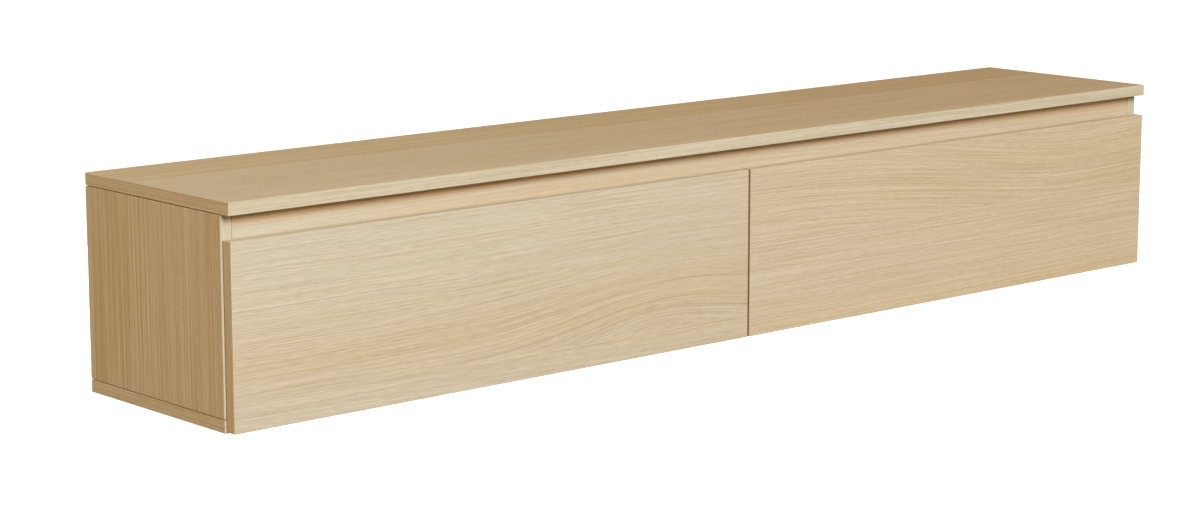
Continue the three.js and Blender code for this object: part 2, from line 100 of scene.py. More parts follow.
class Graph:
    """The node tree of a material or a world, written as sums of sockets."""

    def __init__(self, owner: bpy.types.Material | bpy.types.World) -> None:
        """Empties the owner's tree.

        Args:
            owner: the material or the world.
        """
        self.owner = owner
        owner.use_nodes = True
        self.tree = owner.node_tree
        self.tree.nodes.clear()

    def node(self, kind: str, **settings: object) -> bpy.types.Node:
        """Adds one node.

        Args:
            kind: the node's type without its leading ShaderNode.
            **settings: properties to set on it.

        Returns:
            The node.
        """
        made = self.tree.nodes.new("ShaderNode" + kind)
        for key, value in settings.items():
            setattr(made, key, value)
        return made

    def feed(self, socket: Socket, value: object) -> None:
        """Links a socket into another, or sets a plain value on it.

        Args:
            socket: the input.
            value: a socket or a plain value.
        """
        if isinstance(value, Socket):
            self.tree.links.new(value, socket)
        else:
            socket.default_value = value

    def step(self, operation: str, first: object, *others: object) -> Socket:
        """Arithmetic on one value, or on several from left to right.

        Args:
            operation: a Math node's operation.
            first, *others: sockets or numbers.

        Returns:
            The result's socket.
        """
        for other in others or (0.0,):
            made = self.node("Math", operation=operation)
            self.feed(made.inputs[0], first)
            self.feed(made.inputs[1], other)
            first = made.outputs[0]
        return first

    def add(self, *values: object) -> Socket:
        """The sum of the values."""
        return self.step("ADD", *values)

    def times(self, *values: object) -> Socket:
        """The product of the values."""
        return self.step("MULTIPLY", *values)

    def remap(self, value: object, low: float, high: float, to_low: float, to_high: float) -> Socket:
        """Carries a range smoothly on to another and holds it there.

        Args:
            value: the socket to carry over.
            low, high: the range that comes in.
            to_low, to_high: the range that goes out.

        Returns:
            The carried value.
        """
        made = self.node("MapRange", interpolation_type="SMOOTHSTEP")
        for index, item in enumerate((value, low, high, to_low, to_high)):
            self.feed(made.inputs[index], item)
        return made.outputs[0]

    def hill(self, value: object, centre: float, reach: float) -> Socket:
        """A round hill, exp(-((value - centre) / reach) squared)."""
        offset = self.step("DIVIDE", self.step("SUBTRACT", value, centre), reach)
        return self.step("EXPONENT", self.times(offset, offset, -1.0))

    def held(self, value: object) -> Socket:
        """The value, held between zero and one."""
        return self.step("MAXIMUM", self.step("MINIMUM", value, 1.0), 0.0)

    def vector(self, x: object, y: object, z: object) -> Socket:
        """A vector of three values.

        Args:
            x, y, z: sockets or numbers.

        Returns:
            The vector's socket.
        """
        made = self.node("CombineXYZ")
        for index, item in enumerate((x, y, z)):
            self.feed(made.inputs[index], item)
        return made.outputs[0]

    def noise(self, vector: object, detail: float = 2.0) -> Socket:
        """Smooth noise of unit scale, about one half on average.

        Args:
            vector: where it is read.
            detail: how many finer layers it has, each half as strong as the one before.

        Returns:
            The noise's value.
        """
        made = self.node("TexNoise", noise_dimensions="3D")
        self.feed(made.inputs["Vector"], vector)
        for key, value in (("Scale", 1.0), ("Detail", detail), ("Roughness", 0.5)):
            made.inputs[key].default_value = value
        return made.outputs[0]

    def mottle(self, axes: Sequence[Socket], densities: Sequence[float]) -> Socket:
        """Noise with a number of specks to the metre along each axis."""
        return self.noise(self.vector(*(self.times(axis, d) for axis, d in zip(axes, densities))))

    def blend(self, factor: object, first: object, second: object, mode: str = "MIX") -> Socket:
        """A colour between two colours, or their product where the mode is MULTIPLY.

        Args:
            factor: how much of the second colour there is, 0 to 1.
            first, second: sockets or colours.
            mode: a Mix node's blend type.

        Returns:
            The colour's socket.
        """
        made = self.node("Mix", data_type="RGBA", blend_type=mode)
        for index, item in zip((0, 6, 7), (factor, first, second)):
            self.feed(made.inputs[index], item)
        return made.outputs[2]

    def position(self) -> list[Socket]:
        """The place in the object's own metres.

        Returns:
            Three sockets, for X, Y and Z.
        """
        split = self.node("SeparateXYZ")
        self.feed(split.inputs[0], self.node("TexCoord").outputs["Object"])
        return list(split.outputs)

    def bump(self, height: object, strength: float, distance: float) -> Socket:
        """Normals bent by a height.

        Args:
            height: the height, 0 to 1.
            strength: how much of it is felt.
            distance: what a height of 1 stands for, in metres.

        Returns:
            The bent normal.
        """
        made = self.node("Bump")
        made.inputs["Strength"].default_value = strength
        made.inputs["Distance"].default_value = distance
        self.feed(made.inputs["Height"], height)
        return made.outputs[0]

    def seen(self) -> Socket:
        """Tells the rays that show in the picture, directly, in gloss or through glass, from the others.

        Returns:
            One on such a ray and zero on another.
        """
        path = self.node("LightPath")
        rays = ("Is Camera Ray", "Is Glossy Ray", "Is Transmission Ray")
        return self.step("MAXIMUM", *(path.outputs[ray] for ray in rays))

    def mixed(self, factor: object, first: bpy.types.Node, second: bpy.types.Node) -> bpy.types.Node:
        """A shader between two shaders.

        Args:
            factor: how much of the second one there is, 0 to 1.
            first, second: the shaders' nodes.

        Returns:
            The mixed shader's node.
        """
        made = self.node("MixShader")
        for index, item in enumerate((factor, first.outputs[0], second.outputs[0])):
            self.feed(made.inputs[index], item)
        return made

    def end(self, shader: bpy.types.Node, kind: str = "Material") -> None:
        """Shows a shader as the surface of the owner, a Material or a World."""
        self.feed(self.node("Output" + kind).inputs["Surface"], shader.outputs[0])

    def surface(self, **inputs: object) -> bpy.types.Material:
        """Ends the material in one Principled surface.

        Args:
            **inputs: the shader's inputs, with underscores for the spaces in their names.

        Returns:
            The finished material.
        """
        shader = self.node("BsdfPrincipled")
        for key, value in inputs.items():
            self.feed(shader.inputs[key.replace("_", " ")], value)
        self.end(shader)
        return self.owner


class Grain(Enum):
    """Which way the fibres run, with the row axes read as along, across and into the leaf."""

    X_ON_FRONT = (0, 2, 1)
    X_ON_TOP = (0, 1, 2)
    Y_ON_END = (1, 2, 0)
    Z_ON_END = (2, 1, 0)
    Z_ON_FRONT = (2, 0, 1)


@dataclass(frozen=True)
class Swell:
    """A place where the growth lines lie further apart and their neighbours bow round it, in metres."""

    along: float
    across: float
    height: float
    length: float
    width: float


@dataclass(frozen=True)
class Streak:
    """A dark line that follows the growth lines at one level, and fades out along the leaf, in metres."""

    level: float
    depth: float
    width: float = 0.0012
    along: float = 0.0
    length: float = 9.0


@dataclass(frozen=True)
class Band:
    """A broad band at one level that is warmer or darker than the rest, by a share of the whole range."""

    level: float
    reach: float
    warmth: float = 0.0
    shade: float = 0.0


@dataclass(frozen=True)
class Layer:
    """One layer of noise: its length along the fibres and its pitch across them in metres, and its depth.

    The shift moves the place where it is read, so that two layers aren't alike.
    """

    length: float
    pitch: float
    depth: float
    shift: float = 0.0


@dataclass(frozen=True)
class Tone:
    """The colours of a leaf as displayed.

    The mean is the colour halfway between pale and late wood, the swing is the distance from it to either,
    the warm tint is what a warm band adds, and the shade and tint drift is what the right end of the row
    adds to the left:
    partly a change of tint and partly painted shade, the light's fall-off towards the right end.
    """

    mean: Colour
    swing: Colour = (18.0, 20.5, 27.0)
    warm: Colour = (2.5, -2.0, -9.0)
    shade_and_tint_drift: Colour = (0.0, 0.0, 0.0)

    def at(self, late: float, warmth: float = 0.0, end: float = 0.0) -> Rgba:
        """One corner of the leaf's range of colours.

        Args:
            late: 1 for late, dark wood and -1 for early, pale wood.
            warmth: how much of the warm tint is added.
            end: how much of the shade and tint drift is added.

        Returns:
            The colour in linear values.
        """
        parts = zip(self.mean, self.swing, self.warm, self.shade_and_tint_drift)
        return linear(*(m - late * s + warmth * w + end * d for m, s, w, d in parts))


FRONT_LAYERS = (
    Layer(1.50, 0.0300, 0.08),
    Layer(0.80, 0.0110, 0.05),
    Layer(0.45, 0.0036, 0.14),
    Layer(0.26, 0.0024, 0.34),
    Layer(0.20, 0.0018, 0.64),
    Layer(0.02, 0.0010, 0.62),
)
END_LAYERS = (
    Layer(1.10, 0.0300, 0.03),
    Layer(0.60, 0.0110, 0.05),
    Layer(0.60, 0.0075, 0.10),
    Layer(0.50, 0.0050, 0.20),
    Layer(0.45, 0.0034, 0.60),
    Layer(0.40, 0.0021, 1.00),
    Layer(0.02, 0.0010, 0.40),
)

# Every leaf shares these. The depths of the wander and the ripple multiply the leaf's own.
WANDER = Layer(1.10, 0.1600, 4.0, shift=0.3)
RIPPLE = Layer(0.12, 0.0500, 4.0, shift=0.7)
RIB_WANDER = Layer(0.50, 0.0160, 3.0, shift=31.9)
WARMTH = Layer(1.30, 0.0200, 0.9, shift=22.4)
PORES = Layer(0.012, 0.0004, 0.12, shift=19.1)
PORE_EDGE = (0.10, 0.22)
LAYER_SHIFT = 1.7
LEAF_SHIFT = 7.3
# The drift grows over this span along X. It is partly painted shade, darker towards the right end.
DRIFT_SPAN = (-1.3, 1.3)

SOFT_SWING = (12.0, 14.0, 18.0)
# The tones hold the oak's own colour from leaf to leaf. The top's and the ends' tones are also partly
# painted shade: they are darker and warmer than the fronts' and the edges', for the shade on faces that turn
# from the key lamp.
FRONT_TONE = Tone(mean=(203, 193, 171.5), shade_and_tint_drift=(-2.0, -6.5, -12.0))
RIGHT_TONE = Tone(mean=(204, 191, 170.5), shade_and_tint_drift=(0.0, -3.0, -13.0))
EDGE_TONE = Tone(mean=(203, 195, 173))
RAIL_TONE = Tone(mean=(203, 192, 166), swing=SOFT_SWING)
# The rail's tone. Its strong warm tint, laid on by a band along the rail's top, is a painted warm shadow
# under the top's overhang.
RAIL_PAINTED_SHADOW_TONE = Tone(mean=(202, 197.5, 177.5), swing=SOFT_SWING, warm=(4.0, -24.0, -45.0))
SHADED_TOP_TONE = Tone(mean=(192, 173, 139), shade_and_tint_drift=(-14.0, -22.0, -29.0))
SHADED_END_TONE = Tone(mean=(184, 157.5, 116))
BACK_TONE = Tone(mean=(209, 188, 152))
BEECH_TONE = Tone(mean=(206, 170, 128), swing=(10.0, 12.0, 14.0))
BOX_TONE = Tone(mean=(217, 206, 180), swing=SOFT_SWING)


@dataclass(frozen=True)
class Fibres:
    """Where a leaf's grain is read: along, across and into it, and whether a point is on the upper leaf."""

    graph: Graph
    along: Socket
    across: Socket
    into: Socket
    upper: Socket

    def read(self, layer: Layer, level: object) -> Socket:
        """A layer's noise about zero, before its depth.

        Args:
            layer: the layer, whose length and pitch stretch the noise.
            level: the place across the fibres.

        Returns:
            The noise less one half.
        """
        g = self.graph
        place = g.vector(
            g.step("DIVIDE", self.along, layer.length),
            g.step("DIVIDE", level, layer.pitch),
            g.add(self.into, layer.shift),
        )
        return g.step("SUBTRACT", g.noise(place, detail=0.0), 0.5)


@dataclass(frozen=True)
class Veneer:
    """Oak veneer under matt lacquer.

    The growth level of a point is its distance across the leaf, plus a slow wander and a fine ripple,
    less the swells. Each layer of grain is noise that is stretched along the fibres and read at that
    level, and the layers are summed about one half. Streaks and bands are hills at chosen levels.
    The ribs are a sine of the level whose phase wanders, for the even fine lines of straight grain.
    Above the joint is an upper leaf, with the streaks and swells. Below it lies a second one, whose grain
    is its own and runs straight. The upper leaf may be darker or warmer than the lower one.
    """

    name: str
    tone: Tone
    grain: Grain
    seed: float
    layers: tuple[Layer, ...] = FRONT_LAYERS
    wander: float = 0.004
    ripple: float = 0.0009
    contrast: float = 1.0
    rib_pitch: float = 0.0047
    rib_depth: float = 0.065
    joint: float = -9.0
    upper_shade: float = 0.0
    upper_warmth: float = 0.0
    base_warmth: float = 0.3
    swells: tuple[Swell, ...] = ()
    streaks: tuple[Streak, ...] = ()
    bands: tuple[Band, ...] = ()
    late_span: Span = (0.2, 0.8)
    roughness: Span = (0.58, 0.68)
    specular: float = 0.12
    late_fall: float = 0.6
    relief: float = 0.0001
    relief_strength: float = 0.25

    def level(self, fibres: Fibres) -> Socket:
        """The growth level: the distance across with its wander and ripple, less the swells.

        Args:
            fibres: where the grain is read.

        Returns:
            The level in metres.
        """
        g = fibres.graph
        level = g.add(
            fibres.across,
            g.times(fibres.read(WANDER, fibres.across), WANDER.depth * self.wander),
            g.times(fibres.read(RIPPLE, fibres.across), RIPPLE.depth * self.ripple),
        )
        for swell in self.swells:
            along = g.hill(fibres.along, swell.along, swell.length)
            across = g.hill(fibres.across, swell.across, swell.width)
            level = g.step("SUBTRACT", level, g.times(along, across, fibres.upper, swell.height))
        return level

    def figure(self, fibres: Fibres, level: Socket, pores: Socket) -> Socket:
        """How late the wood is: the layers, the ribs, the streaks and the pores, about one half.

        Args:
            fibres: where the grain is read.
            level: the growth level.
            pores: one in a pore and zero beside it.

        Returns:
            Zero for early wood and one for late wood.
        """
        g = fibres.graph
        late = g.add(0.5, g.times(fibres.upper, self.upper_shade))
        for index, layer in enumerate(self.layers):
            part = fibres.read(replace(layer, shift=LAYER_SHIFT * index), level)
            late = g.add(late, g.times(part, layer.depth * self.contrast))
        wander = g.times(fibres.read(RIB_WANDER, level), RIB_WANDER.depth)
        phase = g.add(g.step("DIVIDE", level, self.rib_pitch), wander)
        ribs = g.step("SINE", g.times(phase, 2 * math.pi))
        late = g.add(late, g.times(ribs, self.rib_depth * self.contrast))
        for streak in self.streaks:
            across = g.hill(level, streak.level, streak.width)
            along = g.hill(fibres.along, streak.along, streak.length)
            late = g.add(late, g.times(across, fibres.upper, along, streak.depth))
        return g.add(late, g.times(pores, PORES.depth * self.contrast))

    def material(self) -> bpy.types.Material:
        """Builds the material's nodes.

        Returns:
            The finished material.
        """
        g = Graph(bpy.data.materials.new(self.name))
        axes = g.position()
        along, across, into = (axes[i] for i in self.grain.value)
        upper = g.step("GREATER_THAN", across, self.joint)
        fibres = Fibres(g, along, across, g.add(into, self.seed, g.times(upper, LEAF_SHIFT)), upper)

        level = self.level(fibres)
        pores = g.remap(fibres.read(PORES, level), *PORE_EDGE, 0.0, 1.0)
        late = self.figure(fibres, level, pores)
        slow = g.times(fibres.read(WARMTH, level), WARMTH.depth)
        warmth = g.add(slow, self.base_warmth, g.times(upper, self.upper_warmth))
        for band in self.bands:
            hill = g.hill(across, band.level, band.reach)
            late = g.add(late, g.times(hill, band.shade))
            warmth = g.add(warmth, g.times(hill, band.warmth))
        late, warmth = g.held(late), g.held(warmth)

        early_wood, late_wood = (
            g.blend(warmth, self.tone.at(side), self.tone.at(side, warmth=1.0)) for side in (-1, 1)
        )
        colour = g.blend(late, early_wood, late_wood)
        # Partly painted shade: the colour darkens towards the row's right end.
        if any(self.tone.shade_and_tint_drift):
            colour = self.drifted(g, axes[0], colour)
        height = g.step("SUBTRACT", 1.0, g.add(g.times(late, self.late_fall), pores))
        return g.surface(
            Base_Color=colour,
            Roughness=g.remap(late, *self.late_span, *self.roughness),
            Specular_IOR_Level=self.specular,
            Normal=g.bump(height, self.relief_strength, self.relief),
        )

    def drifted(self, g: Graph, place: Socket, colour: Socket) -> Socket:
        """The colour times a tint that grows from the row's left end to its right end, partly painted shade.

        Args:
            g: the material's graph.
            place: the distance along the row.
            colour: the colour without its shade and tint drift.

        Returns:
            The tinted colour.
        """
        plain, ended = self.tone.at(0), self.tone.at(0, end=1.0)
        tint = tuple(b / a for a, b in zip(plain[:3], ended[:3])) + (1.0,)
        share = g.remap(place, *DRIFT_SPAN, 0.0, 1.0)
        return g.blend(1.0, colour, g.blend(share, WHITE, tint), mode="MULTIPLY")


@dataclass(frozen=True)
class Zinc:
    """Bright zinc plate: grey metal with fine roll lines along the piece and a faint cloudiness.

    The densities are specks to the metre, for the roll lines along them, across them and into the sheet.
    """

    name: str
    lines_along: Grain
    colour: Colour = (166, 169, 173)
    dull: Colour = (161, 164, 167)
    line_densities: Triple = (12.0, 1400.0, 1400.0)
    cloud_density: float = 24.0
    line_span: Span = (0.3, 0.7)
    cloud_span: Span = (0.35, 0.65)
    roughness: Span = (0.27, 0.36)
    cloud_roughness: float = 0.012
    relief: float = 0.00003
    relief_strength: float = 0.12

    def material(self) -> bpy.types.Material:
        """Builds the material's nodes.

        Returns:
            The finished material.
        """
        g = Graph(bpy.data.materials.new(self.name))
        axes = g.position()
        cloud = g.mottle(axes, (self.cloud_density,) * 3)
        lines = g.mottle([axes[i] for i in self.lines_along.value], self.line_densities)
        clouded = g.remap(cloud, *self.cloud_span, 0.0, 1.0)
        rough = g.remap(lines, *self.line_span, *self.roughness)
        return g.surface(
            Base_Color=g.blend(clouded, linear(*self.colour), linear(*self.dull)),
            Metallic=1.0,
            Roughness=g.add(rough, g.remap(cloud, *self.cloud_span, 0.0, self.cloud_roughness)),
            Normal=g.bump(lines, self.relief_strength, self.relief),
        )


@dataclass(frozen=True)
class Ply:
    """The cut edge of birch plywood, with pale long-grain plies and darker end-grain plies in turn.

    The plies are stacked along an axis from a start. Shares say how much each mark darkens the edge.
    """

    name: str
    axis: int
    start: float
    ply: float = 12.0 / 9.0 * MM
    pale: Colour = (224, 207, 175)
    dark: Colour = (184, 155, 114)
    end_grain_share: float = 0.55
    glue_share: float = 0.3
    fibre_share: float = 0.3
    fibre_density: float = 700.0
    change: float = 0.12
    glue_reach: float = 0.16
    fibre_span: Span = (0.3, 0.7)
    roughness: Span = (0.55, 0.7)
    specular: float = 0.15
    relief: float = 0.00008
    relief_strength: float = 0.3

    def material(self) -> bpy.types.Material:
        """Builds the nodes: a sharpened sine across the thickness, with fine fibres and dark glue lines.

        Returns:
            The finished material.
        """
        g = Graph(bpy.data.materials.new(self.name))
        axes = g.position()
        depth = g.step("SUBTRACT", axes[self.axis], self.start)
        wave = g.step("SINE", g.times(depth, math.pi / self.ply))
        fibre = g.mottle(axes, (self.fibre_density,) * 3)
        dark = g.add(
            g.times(g.remap(wave, self.change, -self.change, 0.0, 1.0), self.end_grain_share),
            g.times(g.hill(wave, 0.0, self.glue_reach), self.glue_share),
            g.times(fibre, self.fibre_share),
        )
        return g.surface(
            Base_Color=g.blend(g.held(dark), linear(*self.pale), linear(*self.dark)),
            Roughness=g.remap(fibre, *self.fibre_span, *self.roughness),
            Specular_IOR_Level=self.specular,
            Normal=g.bump(dark, self.relief_strength, self.relief),
        )


@dataclass(frozen=True)
class Pad:
    """Soft clear plastic with a slight milky mottle."""

    name: str = "clear_pad"
    colour: Colour = (228, 228, 224)
    cloudy: Colour = (214, 214, 208)
    density: float = 900.0
    cloud_span: Span = (0.35, 0.65)
    rough_span: Span = (0.3, 0.7)
    roughness: Span = (0.25, 0.4)
    milk: float = 0.3
    milk_depth: float = 2 * MM
    relief: float = 0.00003
    relief_strength: float = 0.1

    def material(self) -> bpy.types.Material:
        """Builds the material's nodes.

        Returns:
            The finished material.
        """
        g = Graph(bpy.data.materials.new(self.name))
        mottle = g.mottle(g.position(), (self.density,) * 3)
        clouded = g.remap(mottle, *self.cloud_span, 0.0, 1.0)
        return g.surface(
            Base_Color=g.blend(clouded, linear(*self.colour), linear(*self.cloudy)),
            Roughness=g.remap(mottle, *self.rough_span, *self.roughness),
            Subsurface_Weight=self.milk,
            Subsurface_Scale=self.milk_depth,
            Normal=g.bump(mottle, self.relief_strength, self.relief),
        )


Finish = Veneer | Zinc | Ply | Pad


@dataclass
class Leaves:
    """The materials of the scene, each made once from its finish."""

    made: dict[str, bpy.types.Material] = field(default_factory=dict)

    def of(self, finish: Finish) -> bpy.types.Material:
        """The material of a finish, made when it is first asked for.

        Args:
            finish: the finish.

        Returns:
            Its material.
        """
        if finish.name not in self.made:
            self.made[finish.name] = finish.material()
        return self.made[finish.name]


def linked(name: str, data: bpy.types.ID) -> bpy.types.Object:
    """Makes an object and links it into the scene.

    Args:
        name: its name.
        data: the mesh, the lamp or the camera that it shows.

    Returns:
        The object.
    """
    made = bpy.data.objects.new(name, data)
    bpy.context.scene.collection.objects.link(made)
    return made


@dataclass(frozen=True)
class Solid:
    """A closed surface: corners, faces, a normal for each corner, and a material index for each face."""

    corners: np.ndarray
    faces: list[tuple[int, ...]]
    normals: np.ndarray | None = None
    skins: np.ndarray | None = None

    def piece(self, name: str, materials: Sequence[bpy.types.Material]) -> bpy.types.Object:
        """Makes the object, at the origin and with its place in its mesh.

        Args:
            name: the piece's name.
            materials: its materials, in the order that the faces' indices mean.

        Returns:
            The object, linked into the scene.
        """
        mesh = bpy.data.meshes.new(name)
        mesh.from_pydata(self.corners.tolist(), [], self.faces)
        for material in materials:
            mesh.materials.append(material)
        if self.skins is not None:
            mesh.polygons.foreach_set("material_index", self.skins.astype(np.int32))
        mesh.update()
        if self.normals is not None:
            mesh.polygons.foreach_set("use_smooth", np.ones(len(self.faces), dtype=bool))
            mesh.normals_split_custom_set_from_vertices(self.normals.tolist())
        return linked(name, mesh)


def ball_grid(rise: np.ndarray, around: np.ndarray) -> np.ndarray:
    """The points (cos r cos a, cos r sin a, sin r) of a unit ball.

    Args:
        rise: the angle r above the equator of each row.
        around: the angle a of each column.

    Returns:
        A row and a column of points for each pair of angles.
    """
    r, a = np.meshgrid(rise, around, indexing="ij")
    return np.stack([np.cos(r) * np.cos(a), np.cos(r) * np.sin(a), np.sin(r)], axis=-1)


def ring_quads(rows: int, columns: int) -> np.ndarray:
    """The quads between rings of points that lie one on another, each ring closed on itself.

    Args:
        rows: how many rings there are.
        columns: how many points a ring has. Point j of ring i has the number i * columns + j.

    Returns:
        Four point numbers for each quad.
    """
    index = np.arange(rows * columns).reshape(rows, columns)
    right = np.roll(index, -1, axis=1)
    return np.stack([index[:-1], right[:-1], right[1:], index[1:]], axis=-1).reshape(-1, 4)


def merged(points: np.ndarray, quads: np.ndarray, normals: np.ndarray, digits: int = 7) -> Solid:
    """Joins corners that lie in the same place and drops the faces that this closes up.

    Args:
        points: the corners.
        quads: four corner numbers for each face.
        normals: a normal for each corner.
        digits: how many decimals of a metre two joined corners share.

    Returns:
        The closed surface.
    """
    unique, first, inverse = np.unique(
        np.round(points, digits), axis=0, return_index=True, return_inverse=True
    )
    inverse = inverse.reshape(-1)
    faces = []
    for quad in inverse[quads]:
        ring = [int(c) for k, c in enumerate(quad) if c != quad[k - 1]]
        if len(ring) > 2:
            faces.append(tuple(ring))
    summed = np.zeros_like(unique)
    np.add.at(summed, inverse, normals)
    summed /= np.maximum(np.linalg.norm(summed, axis=1, keepdims=True), NO_LENGTH)
    return Solid(points[first], faces, summed)


def rounded_box(low: np.ndarray, high: np.ndarray, radius: float, steps: int = 3) -> Solid:
    """A box with round arrises.

    Its surface is an inner box's corner plus the radius times a unit vector n(u, v), where the corner is
    the one whose signs n has. Within an octant the point runs over a ball, and between octants it jumps
    from corner to corner, which makes the flat faces and the round edges.

    Args:
        low, high: the box's opposite corners.
        radius: the arris's radius.
        steps: how many faces turn each arris.

    Returns:
        The closed surface, with the exact normal of each corner.
    """
    quarter = np.linspace(0, math.pi / 2, steps + 1)
    around = np.concatenate([quarter + k * math.pi / 2 for k in range(4)])
    rise = np.concatenate([quarter - math.pi / 2, quarter])
    sign_x = np.repeat([1, -1, -1, 1], steps + 1)
    sign_y = np.repeat([1, 1, -1, -1], steps + 1)
    sign_z = np.repeat([-1, 1], steps + 1)
    signs = np.stack(np.broadcast_arrays(sign_x[None, :], sign_y[None, :], sign_z[:, None]), axis=-1)
    ball = ball_grid(rise, around)
    centre, half = (low + high) / 2, (high - low) / 2 - radius
    points = (centre + signs * half + radius * ball).reshape(-1, 3)
    rows, columns = len(rise), len(around)
    pole = np.arange(0, columns, steps + 1)
    quads = [ring_quads(rows, columns), pole[None, ::-1], pole[None] + (rows - 1) * columns]
    return merged(points, np.concatenate(quads), ball.reshape(-1, 3))


def facing(solid: Solid) -> np.ndarray:
    """The row axis that each face looks along most. A tie goes to Y.

    Args:
        solid: the surface.

    Returns:
        0, 1 or 2 for each face.
    """
    normals = []
    for face in solid.faces:
        ring = solid.corners[list(face)]
        normals.append(np.cross(ring, np.roll(ring, -1, axis=0)).sum(axis=0))
    tie = np.array([0.0, 1e-12, 0.0])
    return np.argmax(np.abs(normals) + tie, axis=1)


def joined(solids: Sequence[Solid]) -> Solid:
    """Several closed surfaces as one list of corners and faces.

    Args:
        solids: the surfaces.

    Returns:
        One solid, without normals of its own.
    """
    starts = np.cumsum([0] + [len(solid.corners) for solid in solids[:-1]])
    faces = [
        tuple(corner + int(start) for corner in face)
        for solid, start in zip(solids, starts)
        for face in solid.faces
    ]
    return Solid(np.concatenate([solid.corners for solid in solids]), faces)


def bent_line(corners: np.ndarray, radius: float, steps: int) -> tuple[np.ndarray, np.ndarray]:
    """A line of straight runs whose corners are arcs.

    At each corner the line leaves the first run a distance radius * tan(turn / 2) early, and goes round a
    centre that lies the radius to the inner side.

    Args:
        corners: the sharp corners, two numbers each.
        radius: the arcs' radius.
        steps: how many pieces make an arc.

    Returns:
        The line's points, and the unit normal to its left at each.
    """
    runs = np.diff(corners, axis=0)
    runs /= np.linalg.norm(runs, axis=1, keepdims=True)
    lefts = np.stack([-runs[:, 1], runs[:, 0]], axis=1)
    points, normals = [corners[:1]], [lefts[:1]]
    for corner, before, after, left in zip(corners[1:-1], runs[:-1], runs[1:], lefts[:-1]):
        turn = math.atan2(before[0] * after[1] - before[1] * after[0], float(before @ after))
        inner = math.copysign(radius, turn)
        centre = corner - before * radius * math.tan(abs(turn) / 2) + inner * left
        angle = np.linspace(0, turn, steps + 1)
        spun = np.stack(
            [
                left[0] * np.cos(angle) - left[1] * np.sin(angle),
                left[0] * np.sin(angle) + left[1] * np.cos(angle),
            ],
            axis=1,
        )
        points.append(centre - inner * spun)
        normals.append(spun)
    points.append(corners[-1:])
    normals.append(lefts[-1:])
    return np.concatenate(points), np.concatenate(normals)


def folded_sheet(
    corners: np.ndarray, sheet: float, bend: float, ends: Span, axis: int, steps: int = 5
) -> Solid:
    """Sheet metal folded along a line and run straight along X or Y.

    The section is the line moved half the sheet to either side along its normals. It stands at both ends,
    with a strip of quads over each, and quads between them.

    Args:
        corners: the section's middle line, as Y and Z for a run along X, or X and Z for a run along Y.
        sheet: the metal's thickness.
        bend: the radius of the middle line's bends.
        ends: where the run starts and stops.
        axis: 0 for a run along X, 1 for a run along Y.
        steps: how many faces go round a bend.

    Returns:
        The closed surface.
    """
    line, normals = bent_line(corners, bend, steps)
    count = len(line)
    loop = np.concatenate([line + normals * sheet / 2, (line - normals * sheet / 2)[::-1]])
    points = np.empty((2, 2 * count, 3))
    points[:, :, axis] = np.array(ends)[:, None]
    points[:, :, 1 - axis] = loop[None, :, 0]
    points[:, :, 2] = loop[None, :, 1]
    pairs = np.arange(count - 1)
    cap = np.stack([pairs, 2 * count - 1 - pairs, 2 * count - 2 - pairs, pairs + 1], axis=1)
    faces = np.concatenate([ring_quads(2, 2 * count), cap, cap[:, ::-1] + 2 * count])
    return Solid(points.reshape(-1, 3), [tuple(int(c) for c in face) for face in faces])


@dataclass(frozen=True)
class Cross:
    """A cross pressed into a head: its depth, how far its arms reach, their half width, and its slopes.

    Only points that lie less than the head's drop below the crown are lowered.
    """

    depth: float
    reach: float = 2.3 * MM
    half_width: float = 0.75 * MM
    end_slope: float = 0.5 * MM
    wall_slope: float = 0.35 * MM
    head_drop: float = 0.6 * MM


def turned(
    profile: np.ndarray,
    centre: Sequence[float],
    sides: int,
    cross: Cross | None = None,
    flute: float = 0.0,
) -> Solid:
    """A solid of revolution about an axis along Y.

    A point is the centre plus the profile's radius times (cos t, sin t) in X and Z, at the profile's
    distance along Y. A cross lowers a point by its depth where the smaller of the offsets in X and Z is
    within its half width and the radius is within its reach, with a slope at each of the two limits.
    Flutes draw every third line of the side inwards by a share of the radius.

    Args:
        profile: rows of radius and distance along Y, from axis to axis.
        centre: the axis's X, the zero of Y, and the axis's Z.
        sides: how many faces go round.
        cross: the cross in the first end.
        flute: how deep the flutes are, as a share of the radius.

    Returns:
        The closed surface.
    """
    around = np.linspace(0, 2 * math.pi, sides, endpoint=False)
    reach = profile[:, :1] * (1 - flute * (np.arange(sides) % 3 == 0))
    x = reach * np.cos(around)
    z = reach * np.sin(around)
    y = np.repeat(profile[:, 1:], sides, axis=1)
    if cross is not None:
        narrow = np.clip((cross.half_width - np.minimum(abs(x), abs(z))) / cross.wall_slope, 0, 1)
        inside = np.clip((cross.reach - profile[:, :1]) / cross.end_slope, 0, 1)
        y = y - cross.depth * narrow * inside * (profile[:, 1:] > profile[:1, 1:] - cross.head_drop)
    points = (np.stack([x, y, z], axis=-1) + np.array(centre)).reshape(-1, 3)
    outward = ring_quads(len(profile), sides)[:, [0, 3, 2, 1]]
    return merged(points, outward, np.zeros_like(points))


def domed(radius: float, drop: float, steps: int) -> np.ndarray:
    """The profile of a flat dome: the radius times t, and the drop times t cubed down, for t from 0 to 1.

    Args:
        radius: the dome's radius.
        drop: how far its edge lies below its crown.
        steps: how many points it has.

    Returns:
        Rows of radius and distance along the axis.
    """
    t = np.linspace(0, 1, steps)
    return np.stack([radius * t, -drop * t**3], axis=1)


